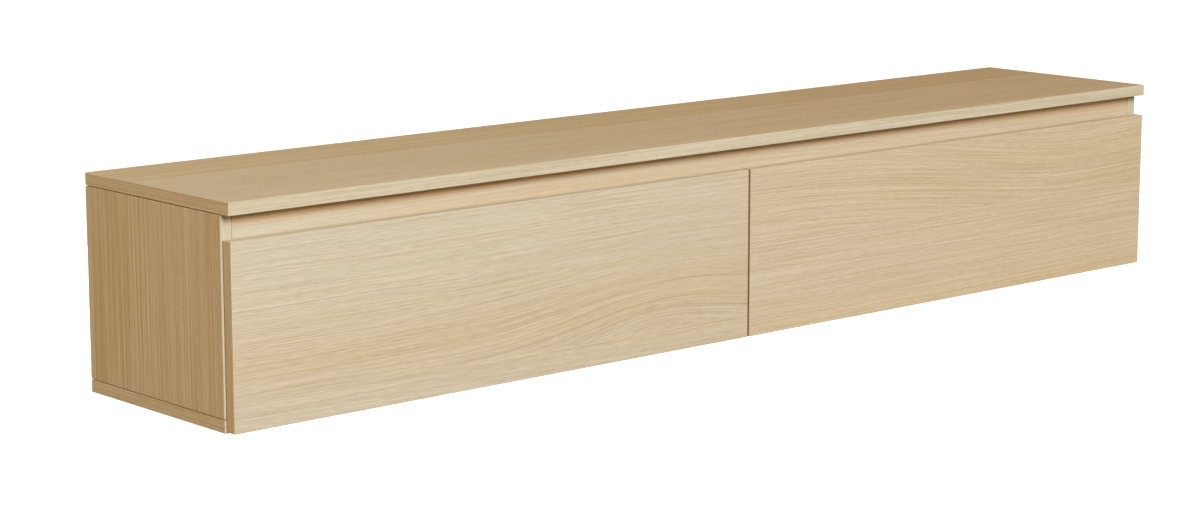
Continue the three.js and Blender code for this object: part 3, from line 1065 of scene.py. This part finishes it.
def balls(centres: np.ndarray, radius: float, rows: int = 6, columns: int = 8) -> Solid:
    """Small balls as grids of latitude and longitude.

    Args:
        centres: a row of three numbers for each ball.
        radius: the balls' radius.
        rows, columns: how many rings a ball has, and how many points a ring has.

    Returns:
        All the balls' surfaces.
    """
    rise = np.linspace(-math.pi / 2, math.pi / 2, rows)
    unit = ball_grid(rise, np.linspace(0, 2 * math.pi, columns, endpoint=False)).reshape(-1, 3)
    starts = len(unit) * np.arange(len(centres))
    quads = (ring_quads(rows, columns)[None] + starts[:, None, None]).reshape(-1, 4)
    points = (centres[:, None] + radius * unit[None]).reshape(-1, 3)
    return merged(points, quads, np.tile(unit, (len(centres), 1)))


def slots(
    places: np.ndarray, length: float, width: float, level: float, across: Span, steps: int = 9
) -> Solid:
    """Punches for round-ended slots that run along Y and pass through along X.

    Each outline is two half circles, half the width in radius, whose centres are the length less the
    width apart.

    Args:
        places: where each slot's middle is along Y.
        length, width: the slot's size.
        level: the slots' height.
        across: where the punches start and stop along X.
        steps: how many points make a half circle.

    Returns:
        The punches' surfaces.
    """
    turn = np.linspace(-math.pi / 2, math.pi / 2, steps)
    half = (length - width) / 2
    run = np.concatenate([half + np.cos(turn) * width / 2, -half - np.cos(turn) * width / 2])
    up = np.concatenate([np.sin(turn), np.sin(turn)[::-1]]) * width / 2
    count = len(run)
    faces = [tuple(int(c) for c in wall) for wall in ring_quads(2, count)]
    faces += [tuple(range(count - 1, -1, -1)), tuple(range(count, 2 * count))]
    punches = []
    for place in places:
        rings = [np.stack([np.full(count, x), place + run, level + up], axis=1) for x in across]
        punches.append(Solid(np.concatenate(rings), faces))
    return joined(punches)


def node_box(node: str) -> tuple[np.ndarray, np.ndarray]:
    """The lowest and the highest corner of a node."""
    low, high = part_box(node)
    return np.array(low), np.array(high)


def within(solid: Solid, low: np.ndarray, high: np.ndarray) -> Solid:
    """The solid with its corners held inside a box."""
    return replace(solid, corners=np.clip(solid.corners, low, high))


def baked(piece: bpy.types.Object) -> None:
    """Applies a piece's modifiers to its mesh.

    Args:
        piece: the piece.
    """
    graph = bpy.context.evaluated_depsgraph_get()
    whole = bpy.data.meshes.new_from_object(piece.evaluated_get(graph))
    piece.modifiers.clear()
    piece.data = whole


def finished(
    piece: bpy.types.Object, punches: Solid | None = None, weld: float = 1e-7, smooth: float = 32.0
) -> None:
    """Closes a piece's mesh, turns its faces outwards and shades its bends smooth.

    Args:
        piece: the piece.
        punches: closed surfaces whose inside is cut out of it.
        weld: the distance within which corners are joined.
        smooth: the angle in degrees under which faces are shaded as one.
    """
    work = bmesh.new()
    work.from_mesh(piece.data)
    bmesh.ops.remove_doubles(work, verts=work.verts, dist=weld)
    bmesh.ops.recalc_face_normals(work, faces=work.faces)
    work.to_mesh(piece.data)
    work.free()
    if punches is not None:
        cutter = punches.piece("punches", [])
        finished(cutter)
        cut = piece.modifiers.new("punched", "BOOLEAN")
        cut.operation = "DIFFERENCE"
        cut.object = cutter
        cut.solver = "EXACT"
        baked(piece)
        bpy.data.objects.remove(cutter)
    piece.data.polygons.foreach_set("use_smooth", np.ones(len(piece.data.polygons), dtype=bool))
    piece.data.set_sharp_from_angle(angle=math.radians(smooth))


def added(piece: bpy.types.Object, small: bpy.types.Object) -> None:
    """Adds a second piece's mesh to a piece's and removes the second piece.

    Args:
        piece: the piece that stays.
        small: the piece whose mesh it takes over.
    """
    work = bmesh.new()
    work.from_mesh(piece.data)
    work.from_mesh(small.data)
    work.to_mesh(piece.data)
    work.free()
    bpy.data.objects.remove(small)


def settled(piece: bpy.types.Object, node: str, body: str) -> None:
    """Gives a piece its node's place and its body, and reports it.

    Args:
        piece: the piece.
        node: the node that it replaces.
        body: the body that it moves with.
    """
    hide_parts(node)
    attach(piece, body)
    LOG.info("%s is on %s", piece.name, body)


@dataclass(frozen=True)
class Panel:
    """A board in a node's place, with its own finish on the faces that look along X, Y and Z."""

    node: str
    on_x: Finish
    on_y: Finish
    on_z: Finish
    body: str = "carcass"
    slot: str = "oak_carcass"

    def finishes(self, leaves: Leaves) -> list[bpy.types.Material]:
        """The materials for the three axes."""
        return [leaves.of(finish) for finish in (self.on_x, self.on_y, self.on_z)]


@dataclass(frozen=True)
class Board(Panel):
    """A plain veneered board with round arrises.

    Its ends stand shy of the node's at the top and the bottom, which leaves a dark joint line there.
    """

    arris: float = 1.1 * MM
    shy: float = 0.0

    def build(self, leaves: Leaves) -> None:
        """Makes the board and puts it in the node's place.

        Args:
            leaves: the materials that have been made so far.
        """
        low, high = node_box(self.node)
        low[2] += self.shy
        high[2] -= self.shy
        solid = rounded_box(low, high, self.arris)
        skinned = replace(solid, skins=facing(solid))
        made = skinned.piece(f"{self.node}_board", self.finishes(leaves))
        settled(made, self.node, self.body)


@dataclass(frozen=True)
class Eased(Panel):
    """A board that keeps its node's grooves and cut-outs, with a small round on every outer edge.

    Corners within the weld are one, faces within the flat angle are one face, an edge is an outer one
    where its faces turn away by more than the outer angle, and shading is sharp above the crease.
    """

    arris: float = 0.7 * MM
    weld: float = 1e-6
    flat: float = 0.002
    outer: float = 0.5
    crease: float = 50.0

    def build(self, leaves: Leaves) -> None:
        """Makes the board from a merged copy of the node's mesh and puts it in the node's place.

        The copy's flat faces are made whole, its outward edges are bevelled with two faces each, and its
        normals are weighted by area so that the flat faces stay flat.

        Args:
            leaves: the materials that have been made so far.
        """
        mesh = bpy.data.meshes.new(f"{self.node}_eased")
        work = bmesh.new()
        work.from_mesh(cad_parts[self.node].data)
        bmesh.ops.remove_doubles(work, verts=work.verts, dist=self.weld)
        bmesh.ops.dissolve_limit(work, angle_limit=self.flat, verts=work.verts, edges=work.edges)
        bmesh.ops.recalc_face_normals(work, faces=work.faces)
        for face in work.faces:
            face.material_index = int(np.argmax(np.abs(np.array(face.normal))))
            face.smooth = True
        bmesh.ops.bevel(
            work,
            geom=[edge for edge in work.edges if edge.calc_face_angle_signed(0.0) > self.outer],
            offset=self.arris,
            segments=2,
            profile=0.5,
            affect="EDGES",
            clamp_overlap=True,
            material=-1,
        )
        work.to_mesh(mesh)
        work.free()
        for material in self.finishes(leaves):
            mesh.materials.append(material)
        mesh.set_sharp_from_angle(angle=math.radians(self.crease))
        made = linked(f"{self.node}_board", mesh)
        made.modifiers.new("even", "WEIGHTED_NORMAL").keep_sharp = True
        baked(made)
        settled(made, self.node, self.body)


@dataclass
class Carcass:
    """The boards that don't move, and the fluted dowels in their corners."""

    leaves: Leaves
    board_shy: float = 0.9 * MM
    side_arris: float = 0.9 * MM
    back_arris: float = 0.4 * MM
    dowel_chamfer: float = 1.0 * MM
    dowel_sides: int = 48
    dowel_flute: float = 0.08
    # The top's, the underside's and the ends' leaves take the shaded tones, which are partly painted shade.
    top: Veneer = Veneer(
        "oak_top_leaf",
        SHADED_TOP_TONE,
        Grain.X_ON_TOP,
        3.1,
        wander=0.003,
        joint=-0.125,
        upper_shade=0.135,
        upper_warmth=0.575,
        streaks=(Streak(level=-0.122, depth=0.12, width=0.002),),
        bands=(Band(level=-0.370, reach=0.030, shade=-0.10),),
    )
    top_edge: Veneer = Veneer("oak_top_front_edge", EDGE_TONE, Grain.X_ON_FRONT, 5.7, wander=0.006)
    cap_end: Veneer = Veneer("oak_cap_end_edge", SHADED_END_TONE, Grain.Y_ON_END, 8.3, wander=0.006)
    end: Veneer = Veneer(
        "oak_end_leaf",
        SHADED_END_TONE,
        Grain.Z_ON_END,
        11.9,
        END_LAYERS,
        wander=0.002,
        bands=(
            Band(level=-0.030, reach=0.070, warmth=-0.15, shade=0.09),
            Band(level=-0.250, reach=0.060, shade=-0.04),
            Band(level=-0.340, reach=0.040, warmth=0.1, shade=0.03),
        ),
    )
    end_edge: Veneer = Veneer("oak_end_front_edge", EDGE_TONE, Grain.Z_ON_FRONT, 13.3, wander=0.002)
    rail: Veneer = Veneer(
        "oak_rail_leaf",
        RAIL_PAINTED_SHADOW_TONE,
        Grain.X_ON_FRONT,
        17.2,
        # A painted warm shadow along the rail's top, under the top's overhang.
        bands=(Band(level=0.072, reach=0.012, warmth=1.0),),
    )
    rail_end: Veneer = Veneer("oak_rail_end", SHADED_END_TONE, Grain.Z_ON_END, 18.4)
    under: Veneer = Veneer("oak_under_leaf", SHADED_TOP_TONE, Grain.X_ON_TOP, 21.6)
    back: Veneer = Veneer("oak_back_leaf", BACK_TONE, Grain.X_ON_FRONT, 23.8)
    beech: Veneer = Veneer("beech_dowel", BEECH_TONE, Grain.Z_ON_END, 26.5, contrast=0.6)

    def build(self) -> None:
        """Makes the boards and the dowels."""
        ends = dict(on_x=self.cap_end, on_y=self.top_edge)
        upright = dict(on_x=self.end, on_y=self.end_edge, on_z=self.end)
        behind = dict(on_x=self.back, on_y=self.back, on_z=self.back)
        sides = [
            Board(f"{hand}_side_panel", arris=self.side_arris, shy=self.board_shy, **upright)
            for hand in ("left", "right")
        ]
        backs = [
            Eased(f"{hand}_back_panel", slot="back_board", arris=self.back_arris, **behind)
            for hand in ("left", "right")
        ]
        for panel in (
            Board("top_panel", on_z=self.top, slot="oak_top", **ends),
            Board("bottom_panel", on_z=self.under, **ends),
            *sides,
            Board("front_rail", self.rail_end, self.rail, self.under, slot="oak_front"),
            Eased("centre_partition", **upright),
            Eased("rear_stretcher", self.rail_end, self.back, self.under),
            *backs,
        ):
            panel.build(self.leaves)
        for node in list(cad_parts):
            if node.endswith("_dowel"):
                self.dowel(node)

    def dowel(self, node: str) -> None:
        """A fluted dowel with chamfered ends, turned about Y and then stood upright.

        Args:
            node: the dowel's node.
        """
        low, high = node_box(node)
        radius, length = (high[0] - low[0]) / 2, high[2] - low[2]
        slope = np.array([[0.0, 0.0], [radius - self.dowel_chamfer, 0.0], [radius, -self.dowel_chamfer]])
        profile = np.concatenate([slope, slope[::-1] * [1, -1] - [0, length]])
        centre = ((low[0] + high[0]) / 2, high[2], (low[1] + high[1]) / 2)
        lying = turned(profile, centre, self.dowel_sides, flute=self.dowel_flute)
        upright = within(replace(lying, corners=lying.corners[:, [0, 2, 1]]), low, high)
        made = upright.piece(f"{node}_fluted", [self.leaves.of(self.beech)])
        finished(made)
        settled(made, node, "carcass")


@dataclass
class Drawer:
    """One drawer with its front, its box, its pads and its runners."""

    hand: str
    leaves: Leaves
    front: Veneer
    bottom_arris: float = 0.3 * MM
    pad_edge: float = 0.3 * MM
    pad_steps: int = 9
    pad_sides: int = 32
    # The front's ends take the ends' shaded tone, which is partly painted shade.
    side_edge: Veneer = Veneer("oak_front_side_edge", SHADED_END_TONE, Grain.Z_ON_END, 27.1, wander=0.002)
    top_edge: Veneer = Veneer("oak_front_top_edge", RAIL_TONE, Grain.X_ON_TOP, 29.4)
    box: Veneer = Veneer(
        "birch_box_front", BOX_TONE, Grain.X_ON_FRONT, 31.7, wander=0.012, ripple=0.002, contrast=0.6
    )
    box_side: Veneer = replace(box, name="birch_box_side", grain=Grain.Y_ON_END, seed=33.9)
    box_bottom: Veneer = replace(box, name="birch_box_bottom", grain=Grain.X_ON_TOP, seed=35.2, wander=0.016)

    def build(self) -> None:
        """Makes the front, the box's boards with their ply edges, the pads and the runners."""
        body = f"{self.hand}_drawer"
        front = Board(f"{body}_front", self.side_edge, self.front, self.top_edge, body, "oak_front")
        front.build(self.leaves)
        for part, axis in (("inner_front", 1), ("back", 1), ("outer_side", 0), ("inner_side", 0)):
            node = f"{body}_{part}"
            ply = Ply(f"{node}_ply", axis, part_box(node)[0][axis])
            faces = (self.box_side, ply) if axis == 0 else (ply, self.box)
            Eased(node, *faces, ply, body, "birch_box").build(self.leaves)
        node = f"{body}_bottom"
        thin = Ply(f"{node}_ply", 2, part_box(node)[0][2])
        Eased(node, thin, thin, self.box_bottom, body, "birch_box", self.bottom_arris).build(self.leaves)
        for wall in ("outer", "inner"):
            self.pad(f"{body}_{wall}_bumper", body)
        for wall in ("outer", "inner"):
            Runner(self.hand, wall, self.leaves).build()

    def pad(self, node: str, body: str) -> None:
        """A soft round pad whose face to the rear is half an ellipse turned about Y.

        Args:
            node: the pad's node.
            body: the drawer's body.
        """
        low, high = node_box(node)
        radius, thick = (high[0] - low[0]) / 2, high[1] - low[1]
        turn = np.linspace(0, math.pi / 2, self.pad_steps)
        dome = np.stack([radius * np.sin(turn), (thick - self.pad_edge) * (np.cos(turn) - 1)], axis=1)
        foot = np.array([[radius, -thick], [0.0, -thick]])
        centre = ((low[0] + high[0]) / 2, high[1], (low[2] + high[2]) / 2)
        solid = turned(np.concatenate([dome, foot]), centre, self.pad_sides)
        made = solid.piece(f"{node}_pad", [self.leaves.of(Pad())])
        finished(made)
        settled(made, node, body)


@dataclass
class Runner:
    """One three-member runner: folded channels one in another, with a row of balls in each race.

    The slots of a member are a count and how far the outer ones stand from its ends. A screw's head lies
    in the drawer member at each of the head places, measured from the member's front end.
    """

    hand: str
    wall: str
    leaves: Leaves
    sheet: float = 1.25 * MM
    bend: float = 2.0 * MM
    slot_length: float = 13 * MM
    slot_width: float = 5 * MM
    overrun: float = 2 * MM
    cabinet_slots: tuple[int, float] = (4, 36 * MM)
    middle_slots: tuple[int, float] = (3, 60 * MM)
    ball: float = 1.1 * MM
    ball_pitch: float = 7.5 * MM
    race_inset: float = 6 * MM
    cage_overhang: float = 3 * MM
    cage_thickness: float = 0.5 * MM
    cage_arris: float = 0.1 * MM
    head_places: tuple[float, ...] = (35 * MM, 100 * MM, 180 * MM, 262 * MM)
    head_radius: float = 3.5 * MM
    head_height: float = 2.0 * MM
    head_sunk: float = 0.2 * MM
    head_edge: float = 1.1 * MM
    dome_radius: float = 3.3 * MM
    dome_drop: float = 0.8 * MM
    dome_steps: int = 9
    head_sides: int = 48
    cross: Cross = Cross(0.9 * MM)
    zinc: Zinc = Zinc("runner_zinc", Grain.Y_ON_END)

    def node(self, member: str) -> str:
        """The node of one member: cabinet, middle or drawer."""
        return f"{self.hand}_{self.wall}_runner_{member}_member"

    @property
    def opens(self) -> float:
        """1 where the cabinet member opens towards +X, -1 where it opens towards -X."""
        return 1.0 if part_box(self.node("drawer"))[0][0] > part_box(self.node("cabinet"))[0][0] else -1.0

    @property
    def level(self) -> float:
        """The runner's middle height."""
        low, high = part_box(self.node("cabinet"))
        return (low[2] + high[2]) / 2

    def channel(self, member: str) -> Solid:
        """One member's channel, within its node's box.

        Args:
            member: cabinet, middle or drawer. The drawer member opens against the other two.

        Returns:
            The closed surface.
        """
        low, high = node_box(self.node(member))
        opens = -self.opens if member == "drawer" else self.opens
        inset = self.sheet / 2
        web, tip = (low[0] + inset, high[0]) if opens > 0 else (high[0] - inset, low[0])
        top, bottom = high[2] - inset, low[2] + inset
        corners = np.array([[tip, top], [web, top], [web, bottom], [tip, bottom]])
        return within(folded_sheet(corners, self.sheet, self.bend, (low[1], high[1]), axis=1), low, high)

    def punches(self, count: int, inset: float) -> Solid:
        """Punches for a row of slots through the whole runner.

        Args:
            count: how many slots there are.
            inset: how far the outer ones stand from the ends.

        Returns:
            The punches' surfaces.
        """
        boxes = [node_box(self.node(member)) for member in ("cabinet", "drawer")]
        across = (
            min(low[0] for low, _ in boxes) - self.overrun,
            max(high[0] for _, high in boxes) + self.overrun,
        )
        low, high = boxes[0]
        places = np.linspace(low[1] + inset, high[1] - inset, count)
        return slots(places, self.slot_length, self.slot_width, self.level, across)

    def races(self) -> list[Solid]:
        """The balls and their cages between the middle and the drawer member.

        Returns:
            The balls and the cage of the upper race, and then those of the lower one.
        """
        low, high = node_box(self.node("middle"))
        inner_low, inner_high = node_box(self.node("drawer"))
        mouth = (low[0] + high[0]) / 2 + self.opens * self.ball
        places = np.arange(low[1] + self.race_inset, high[1] - self.race_inset, self.ball_pitch)
        half = np.array([2 * self.ball, self.cage_overhang, self.cage_thickness / 2])
        made = []
        for outer, inner in ((high[2] - self.sheet, inner_high[2]), (low[2] + self.sheet, inner_low[2])):
            level = (outer + inner) / 2
            centres = np.stack([np.full_like(places, mouth), places, np.full_like(places, level)], axis=1)
            cage = rounded_box(centres[0] - half, centres[-1] + half, self.cage_arris, 1)
            made += [balls(centres, self.ball), cage]
        return made

    def heads(self) -> list[Solid]:
        """The heads of the screws that hold the drawer member to the box.

        Each is turned about an axis along Y like the other screws, and then laid over so that it looks
        out of the channel.

        Returns:
            One solid for each head.
        """
        low, high = node_box(self.node("drawer"))
        face = high[0] - self.sheet if self.opens > 0 else low[0] + self.sheet
        foot = -self.head_height - self.head_sunk
        rim = np.array([[self.head_radius, -self.head_edge], [self.head_radius, foot], [0.0, foot]])
        profile = np.concatenate([domed(self.dome_radius, self.dome_drop, self.dome_steps), rim])
        made = []
        for place in low[1] + np.array(self.head_places):
            head = turned(profile, (place, 0.0, self.level), self.head_sides, self.cross)
            run, up, height = head.corners.T
            x = face - self.opens * (self.head_height + up)
            made.append(replace(head, corners=np.stack([x, run, height], axis=1)))
        return made

    def build(self) -> None:
        """Makes the three members, each in its node's place and with its small parts."""
        zinc = [self.leaves.of(self.zinc)]
        for member, body, punches, small_parts in (
            ("cabinet", "carcass", self.punches(*self.cabinet_slots), []),
            ("middle", f"{self.hand}_runner_middles", self.punches(*self.middle_slots), self.races()),
            ("drawer", f"{self.hand}_drawer", None, self.heads()),
        ):
            node = self.node(member)
            made = self.channel(member).piece(f"{node}_folded", zinc)
            finished(made, punches)
            if small_parts:
                small = joined(small_parts).piece("small_parts", zinc)
                finished(small)
                added(made, small)
            settled(made, node, body)


@dataclass(frozen=True)
class Screw:
    """A pan-head screw with a cross, along Y and with its head towards +Y.

    The head is a flat dome over a straight rim. The shank's radius changes between its core and its crest
    at every half turn, which makes the thread, and narrows to the point.
    """

    head: float = 2.25 * MM
    dome_share: float = 0.94
    dome_drop: float = 0.9 * MM
    dome_steps: int = 13
    rim_drop: float = 1.25 * MM
    under_ease: float = 0.2 * MM
    under_rise: float = 0.1 * MM
    neck: float = 0.2 * MM
    core: float = 1.45 * MM
    crest: float = 2.0 * MM
    half_turn: float = 0.6 * MM
    point: float = 3 * MM
    sides: int = 48
    cross: Cross = Cross(1.1 * MM)

    def solid(self, node: str) -> Solid:
        """The screw in a node's box, whose width is the head's.

        Args:
            node: the screw's node.

        Returns:
            The closed surface.
        """
        low, high = node_box(node)
        radius, length = (high[0] - low[0]) / 2, high[1] - low[1]
        rim = [
            [radius, -self.rim_drop],
            [radius, -self.head + self.under_rise],
            [radius - self.under_ease, -self.head],
        ]
        down = np.arange(-self.head - self.neck, -length + self.point, -self.half_turn)
        thread = np.stack([np.where(np.arange(len(down)) % 2, self.crest, self.core), down], axis=1)
        dome = domed(radius * self.dome_share, self.dome_drop, self.dome_steps)
        profile = np.concatenate([dome, rim, thread, [[0.0, -length]]])
        centre = ((low[0] + high[0]) / 2, high[1], (low[2] + high[2]) / 2)
        return turned(profile, centre, self.sides, self.cross)


@dataclass
class Hanging:
    """The wall rail and the hangers, both folded from thicker sheet, and every screw.

    The web drop is measured from a hanger's top to its web's middle line, and the rail floor from the
    rail's lower edge to its floor's middle line.
    """

    leaves: Leaves
    sheet: float = 2.5 * MM
    bend: float = 1.5 * MM
    web_drop: float = 28.75 * MM
    rail_floor: float = 28.75 * MM
    hole: float = 6 * MM
    hole_inset: float = 60 * MM
    hole_count: int = 8
    hole_sides: int = 24
    drill_start: float = 2 * MM
    drill_end: float = -5 * MM
    zinc: Zinc = Zinc("hanging_zinc", Grain.X_ON_FRONT)

    def folded(self, node: str, places: list[Span]) -> Solid:
        """Sheet that runs along X for the length of a node's box, folded through the places in Y and Z."""
        low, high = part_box(node)
        return folded_sheet(np.array(places), self.sheet, self.bend, (low[0], high[0]), axis=0)

    def hanger(self, node: str) -> Solid:
        """A plate on the stretcher with a hook that drops into the wall rail.

        Args:
            node: the hanger's node.

        Returns:
            The closed surface.
        """
        low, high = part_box(node)
        plate, hook = low[1] + self.sheet / 2, high[1] - self.sheet / 2
        web = high[2] - self.web_drop
        return self.folded(node, [(plate, high[2]), (plate, web), (hook, web), (hook, low[2])])

    def rail(self, node: str) -> Solid:
        """The rail on the wall, whose front flange makes the channel for the hooks.

        Args:
            node: the rail's node.

        Returns:
            The closed surface.
        """
        low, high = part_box(node)
        foot, flange = high[1] - self.sheet / 2, low[1] + self.sheet / 2
        floor = low[2] + self.rail_floor
        return self.folded(node, [(foot, low[2]), (foot, floor), (flange, floor), (flange, high[2])])

    def drills(self, node: str) -> Solid:
        """Drills for the wall screws' holes, in a row along the rail's foot.

        Args:
            node: the rail's node.

        Returns:
            The drills' surfaces.
        """
        low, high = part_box(node)
        level = low[2] + (self.rail_floor - self.sheet / 2) / 2
        places = np.linspace(low[0] + self.hole_inset, high[0] - self.hole_inset, self.hole_count)
        radii = [0.0, self.hole / 2, self.hole / 2, 0.0]
        along = [self.drill_start, self.drill_start, self.drill_end, self.drill_end]
        profile = np.stack([radii, along], axis=1)
        return joined([turned(profile, (x, high[1], level), self.hole_sides) for x in places])

    def fitted(self, node: str, solid: Solid, punches: Solid | None = None, body: str = "carcass") -> None:
        """Puts a steel piece in its node's place.

        Args:
            node: the piece's node.
            solid: its surface.
            punches: closed surfaces that are cut out of it.
            body: the body that it moves with.
        """
        made = within(solid, *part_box(node)).piece(f"{node}_steel", [self.leaves.of(self.zinc)])
        finished(made, punches)
        settled(made, node, body)

    def build(self) -> None:
        """Makes the rail, the hangers and the screws."""
        self.fitted("wall_rail", self.rail("wall_rail"), self.drills("wall_rail"))
        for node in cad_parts:
            if node.endswith("_hanger"):
                self.fitted(node, self.hanger(node))
            elif "_screw" in node:
                body = "carcass" if "hanger" in node else f"{node.split('_')[0]}_drawer"
                self.fitted(node, Screw().solid(node), body=body)


@dataclass(frozen=True)
class Lamp:
    """A square soft lamp: where it hangs and its side in metres, and its power in watts."""

    name: str
    place: Triple
    side: float
    power: float

    def hang(self, aim: Sequence[float]) -> None:
        """Hangs the lamp.

        Args:
            aim: the point that it looks at.
        """
        data = bpy.data.lights.new(self.name, "AREA")
        data.shape = "SQUARE"
        data.size = self.side
        data.energy = self.power
        made = linked(self.name, data)
        made.location = self.place
        made.rotation_euler = (Vector(aim) - Vector(self.place)).to_track_quat("-Z", "Y").to_euler()


@dataclass
class Studio:
    """The pale floor, the soft lamps, the world and the camera.

    The floor lies a drop below the console. It glows, near the console less than far away, so that the
    console's shadow shows on it and its rim doesn't.
    """

    floor_drop: float = 0.62
    floor_half: float = 14.0
    glow: Span = (0.62, 1.0)
    glow_span: Span = (2.2, 6.5)
    quiet_floor: Rgba = (0.22, 0.16, 0.09, 1.0)
    pale_floor: Rgba = (0.74, 0.79, 0.88, 1.0)
    world_level: float = 0.27
    world_tint: Rgba = (1.15, 0.93, 0.62, 1.0)
    camera_place: Triple = (-3.2357, -3.6736, 0.74265)
    camera_yaw: float = 41.436
    camera_pitch: float = -10.377
    camera_lens: float = 87.663
    camera_far: float = 100.0
    lamp_aim: Triple = (0.0, -0.18, -0.07)
    lamps: tuple[Lamp, ...] = (
        Lamp("key", (-3.0, -9.0, 5.0), 3.9, 1040),
        Lamp("left_fill", (-5.4, 0.2, 1.0), 2.5, 61),
        Lamp("right_fill", (5.4, 0.2, 1.0), 2.5, 45),
        Lamp("back_fill", (-2.6, 4.4, 1.4), 3.0, 52),
        Lamp("rear_low", (0.6, 4.2, -0.35), 2.0, 60),
    )

    def world(self) -> None:
        """A surrounding that is white in the picture and lights the console weakly and warmly."""
        world = bpy.data.worlds.new("studio")
        bpy.context.scene.world = world
        g = Graph(world)
        seen = g.seen()
        shader = g.node("Background")
        g.feed(shader.inputs["Strength"], g.remap(seen, 0.0, 1.0, self.world_level, 1.0))
        g.feed(shader.inputs["Color"], g.blend(seen, self.world_tint, WHITE))
        g.end(shader, "World")

    def floor(self) -> None:
        """A wide pale floor, white in the picture except for the console's shadow, and open from below."""
        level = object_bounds()[0][2] - self.floor_drop
        signs = np.array([[-1, -1], [1, -1], [1, 1], [-1, 1]])
        corners = np.column_stack([signs * self.floor_half, np.full(len(signs), level)])
        g = Graph(bpy.data.materials.new("studio_floor"))
        x, y, _ = g.position()
        away = g.step("SQRT", g.add(g.times(x, x), g.times(y, y)))
        quiet, pale = g.node("BsdfDiffuse"), g.node("BsdfDiffuse")
        quiet.inputs["Color"].default_value = self.quiet_floor
        pale.inputs["Color"].default_value = self.pale_floor
        glow = g.node("Emission")
        g.feed(glow.inputs["Strength"], g.remap(away, *self.glow_span, *self.glow))
        bright = g.node("AddShader")
        for index, shader in enumerate((pale, glow)):
            g.feed(bright.inputs[index], shader.outputs[0])
        below = g.node("NewGeometry").outputs["Backfacing"]
        g.end(g.mixed(below, g.mixed(g.seen(), quiet, bright), g.node("BsdfTransparent")))
        Solid(corners, [(0, 1, 2, 3)]).piece("studio_floor", [g.owner])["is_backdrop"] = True

    def camera(self) -> None:
        """The camera at the photograph's place, level from side to side."""
        data = bpy.data.cameras.new("camera")
        data.lens = self.camera_lens
        data.clip_end = self.camera_far
        made = linked("camera", data)
        made.location = self.camera_place
        made.rotation_euler = (math.radians(90 + self.camera_pitch), 0, -math.radians(self.camera_yaw))
        bpy.context.scene.camera = made

    def build(self) -> None:
        """Sets up everything that isn't the console."""
        bpy.context.scene.view_settings.view_transform = "Standard"
        self.camera()
        self.world()
        self.floor()
        for lamp in self.lamps:
            lamp.hang(self.lamp_aim)


LEFT_FRONT = Veneer(
    "oak_left_front_leaf",
    FRONT_TONE,
    Grain.X_ON_FRONT,
    41.3,
    joint=-0.1955,
    swells=(Swell(along=-0.17, across=-0.150, height=0.045, length=0.26, width=0.074),),
    streaks=(
        Streak(level=-0.1930, depth=0.40, along=-0.25, length=0.42),
        Streak(level=-0.2060, depth=0.30, along=-0.15, length=0.30),
        Streak(level=-0.1630, depth=0.22, along=-0.75, length=0.40),
        Streak(level=-0.1600, depth=0.16, width=0.0020, along=0.0, length=0.50),
    ),
    bands=(
        Band(level=0.030, reach=0.085, warmth=-0.25, shade=-0.05),
        Band(level=-0.145, reach=0.050, warmth=0.55, shade=0.05),
    ),
)
RIGHT_FRONT = Veneer(
    "oak_right_front_leaf",
    RIGHT_TONE,
    Grain.X_ON_FRONT,
    47.8,
    joint=-0.083,
    swells=(Swell(along=0.86, across=0.0, height=-0.062, length=0.44, width=0.5),),
    streaks=(
        Streak(level=-0.018, depth=0.25, along=0.60, length=0.35),
        Streak(level=-0.032, depth=0.20, along=0.45, length=0.25),
        Streak(level=-0.006, depth=0.20, along=0.75, length=0.35),
    ),
    bands=(
        Band(level=-0.135, reach=0.050, warmth=-0.35, shade=-0.05),
        Band(level=-0.235, reach=0.030, warmth=0.35),
        Band(level=-0.020, reach=0.060, warmth=0.1, shade=0.02),
    ),
)


def main() -> None:
    """Builds the studio and the console."""
    logging.basicConfig(level=logging.INFO, format="%(name)s: %(message)s")
    Studio().build()
    leaves = Leaves()
    Carcass(leaves).build()
    for hand, leaf in (("left", LEFT_FRONT), ("right", RIGHT_FRONT)):
        Drawer(hand, leaves, leaf).build()
    Hanging(leaves).build()


if __name__ == "__main__":
    main()
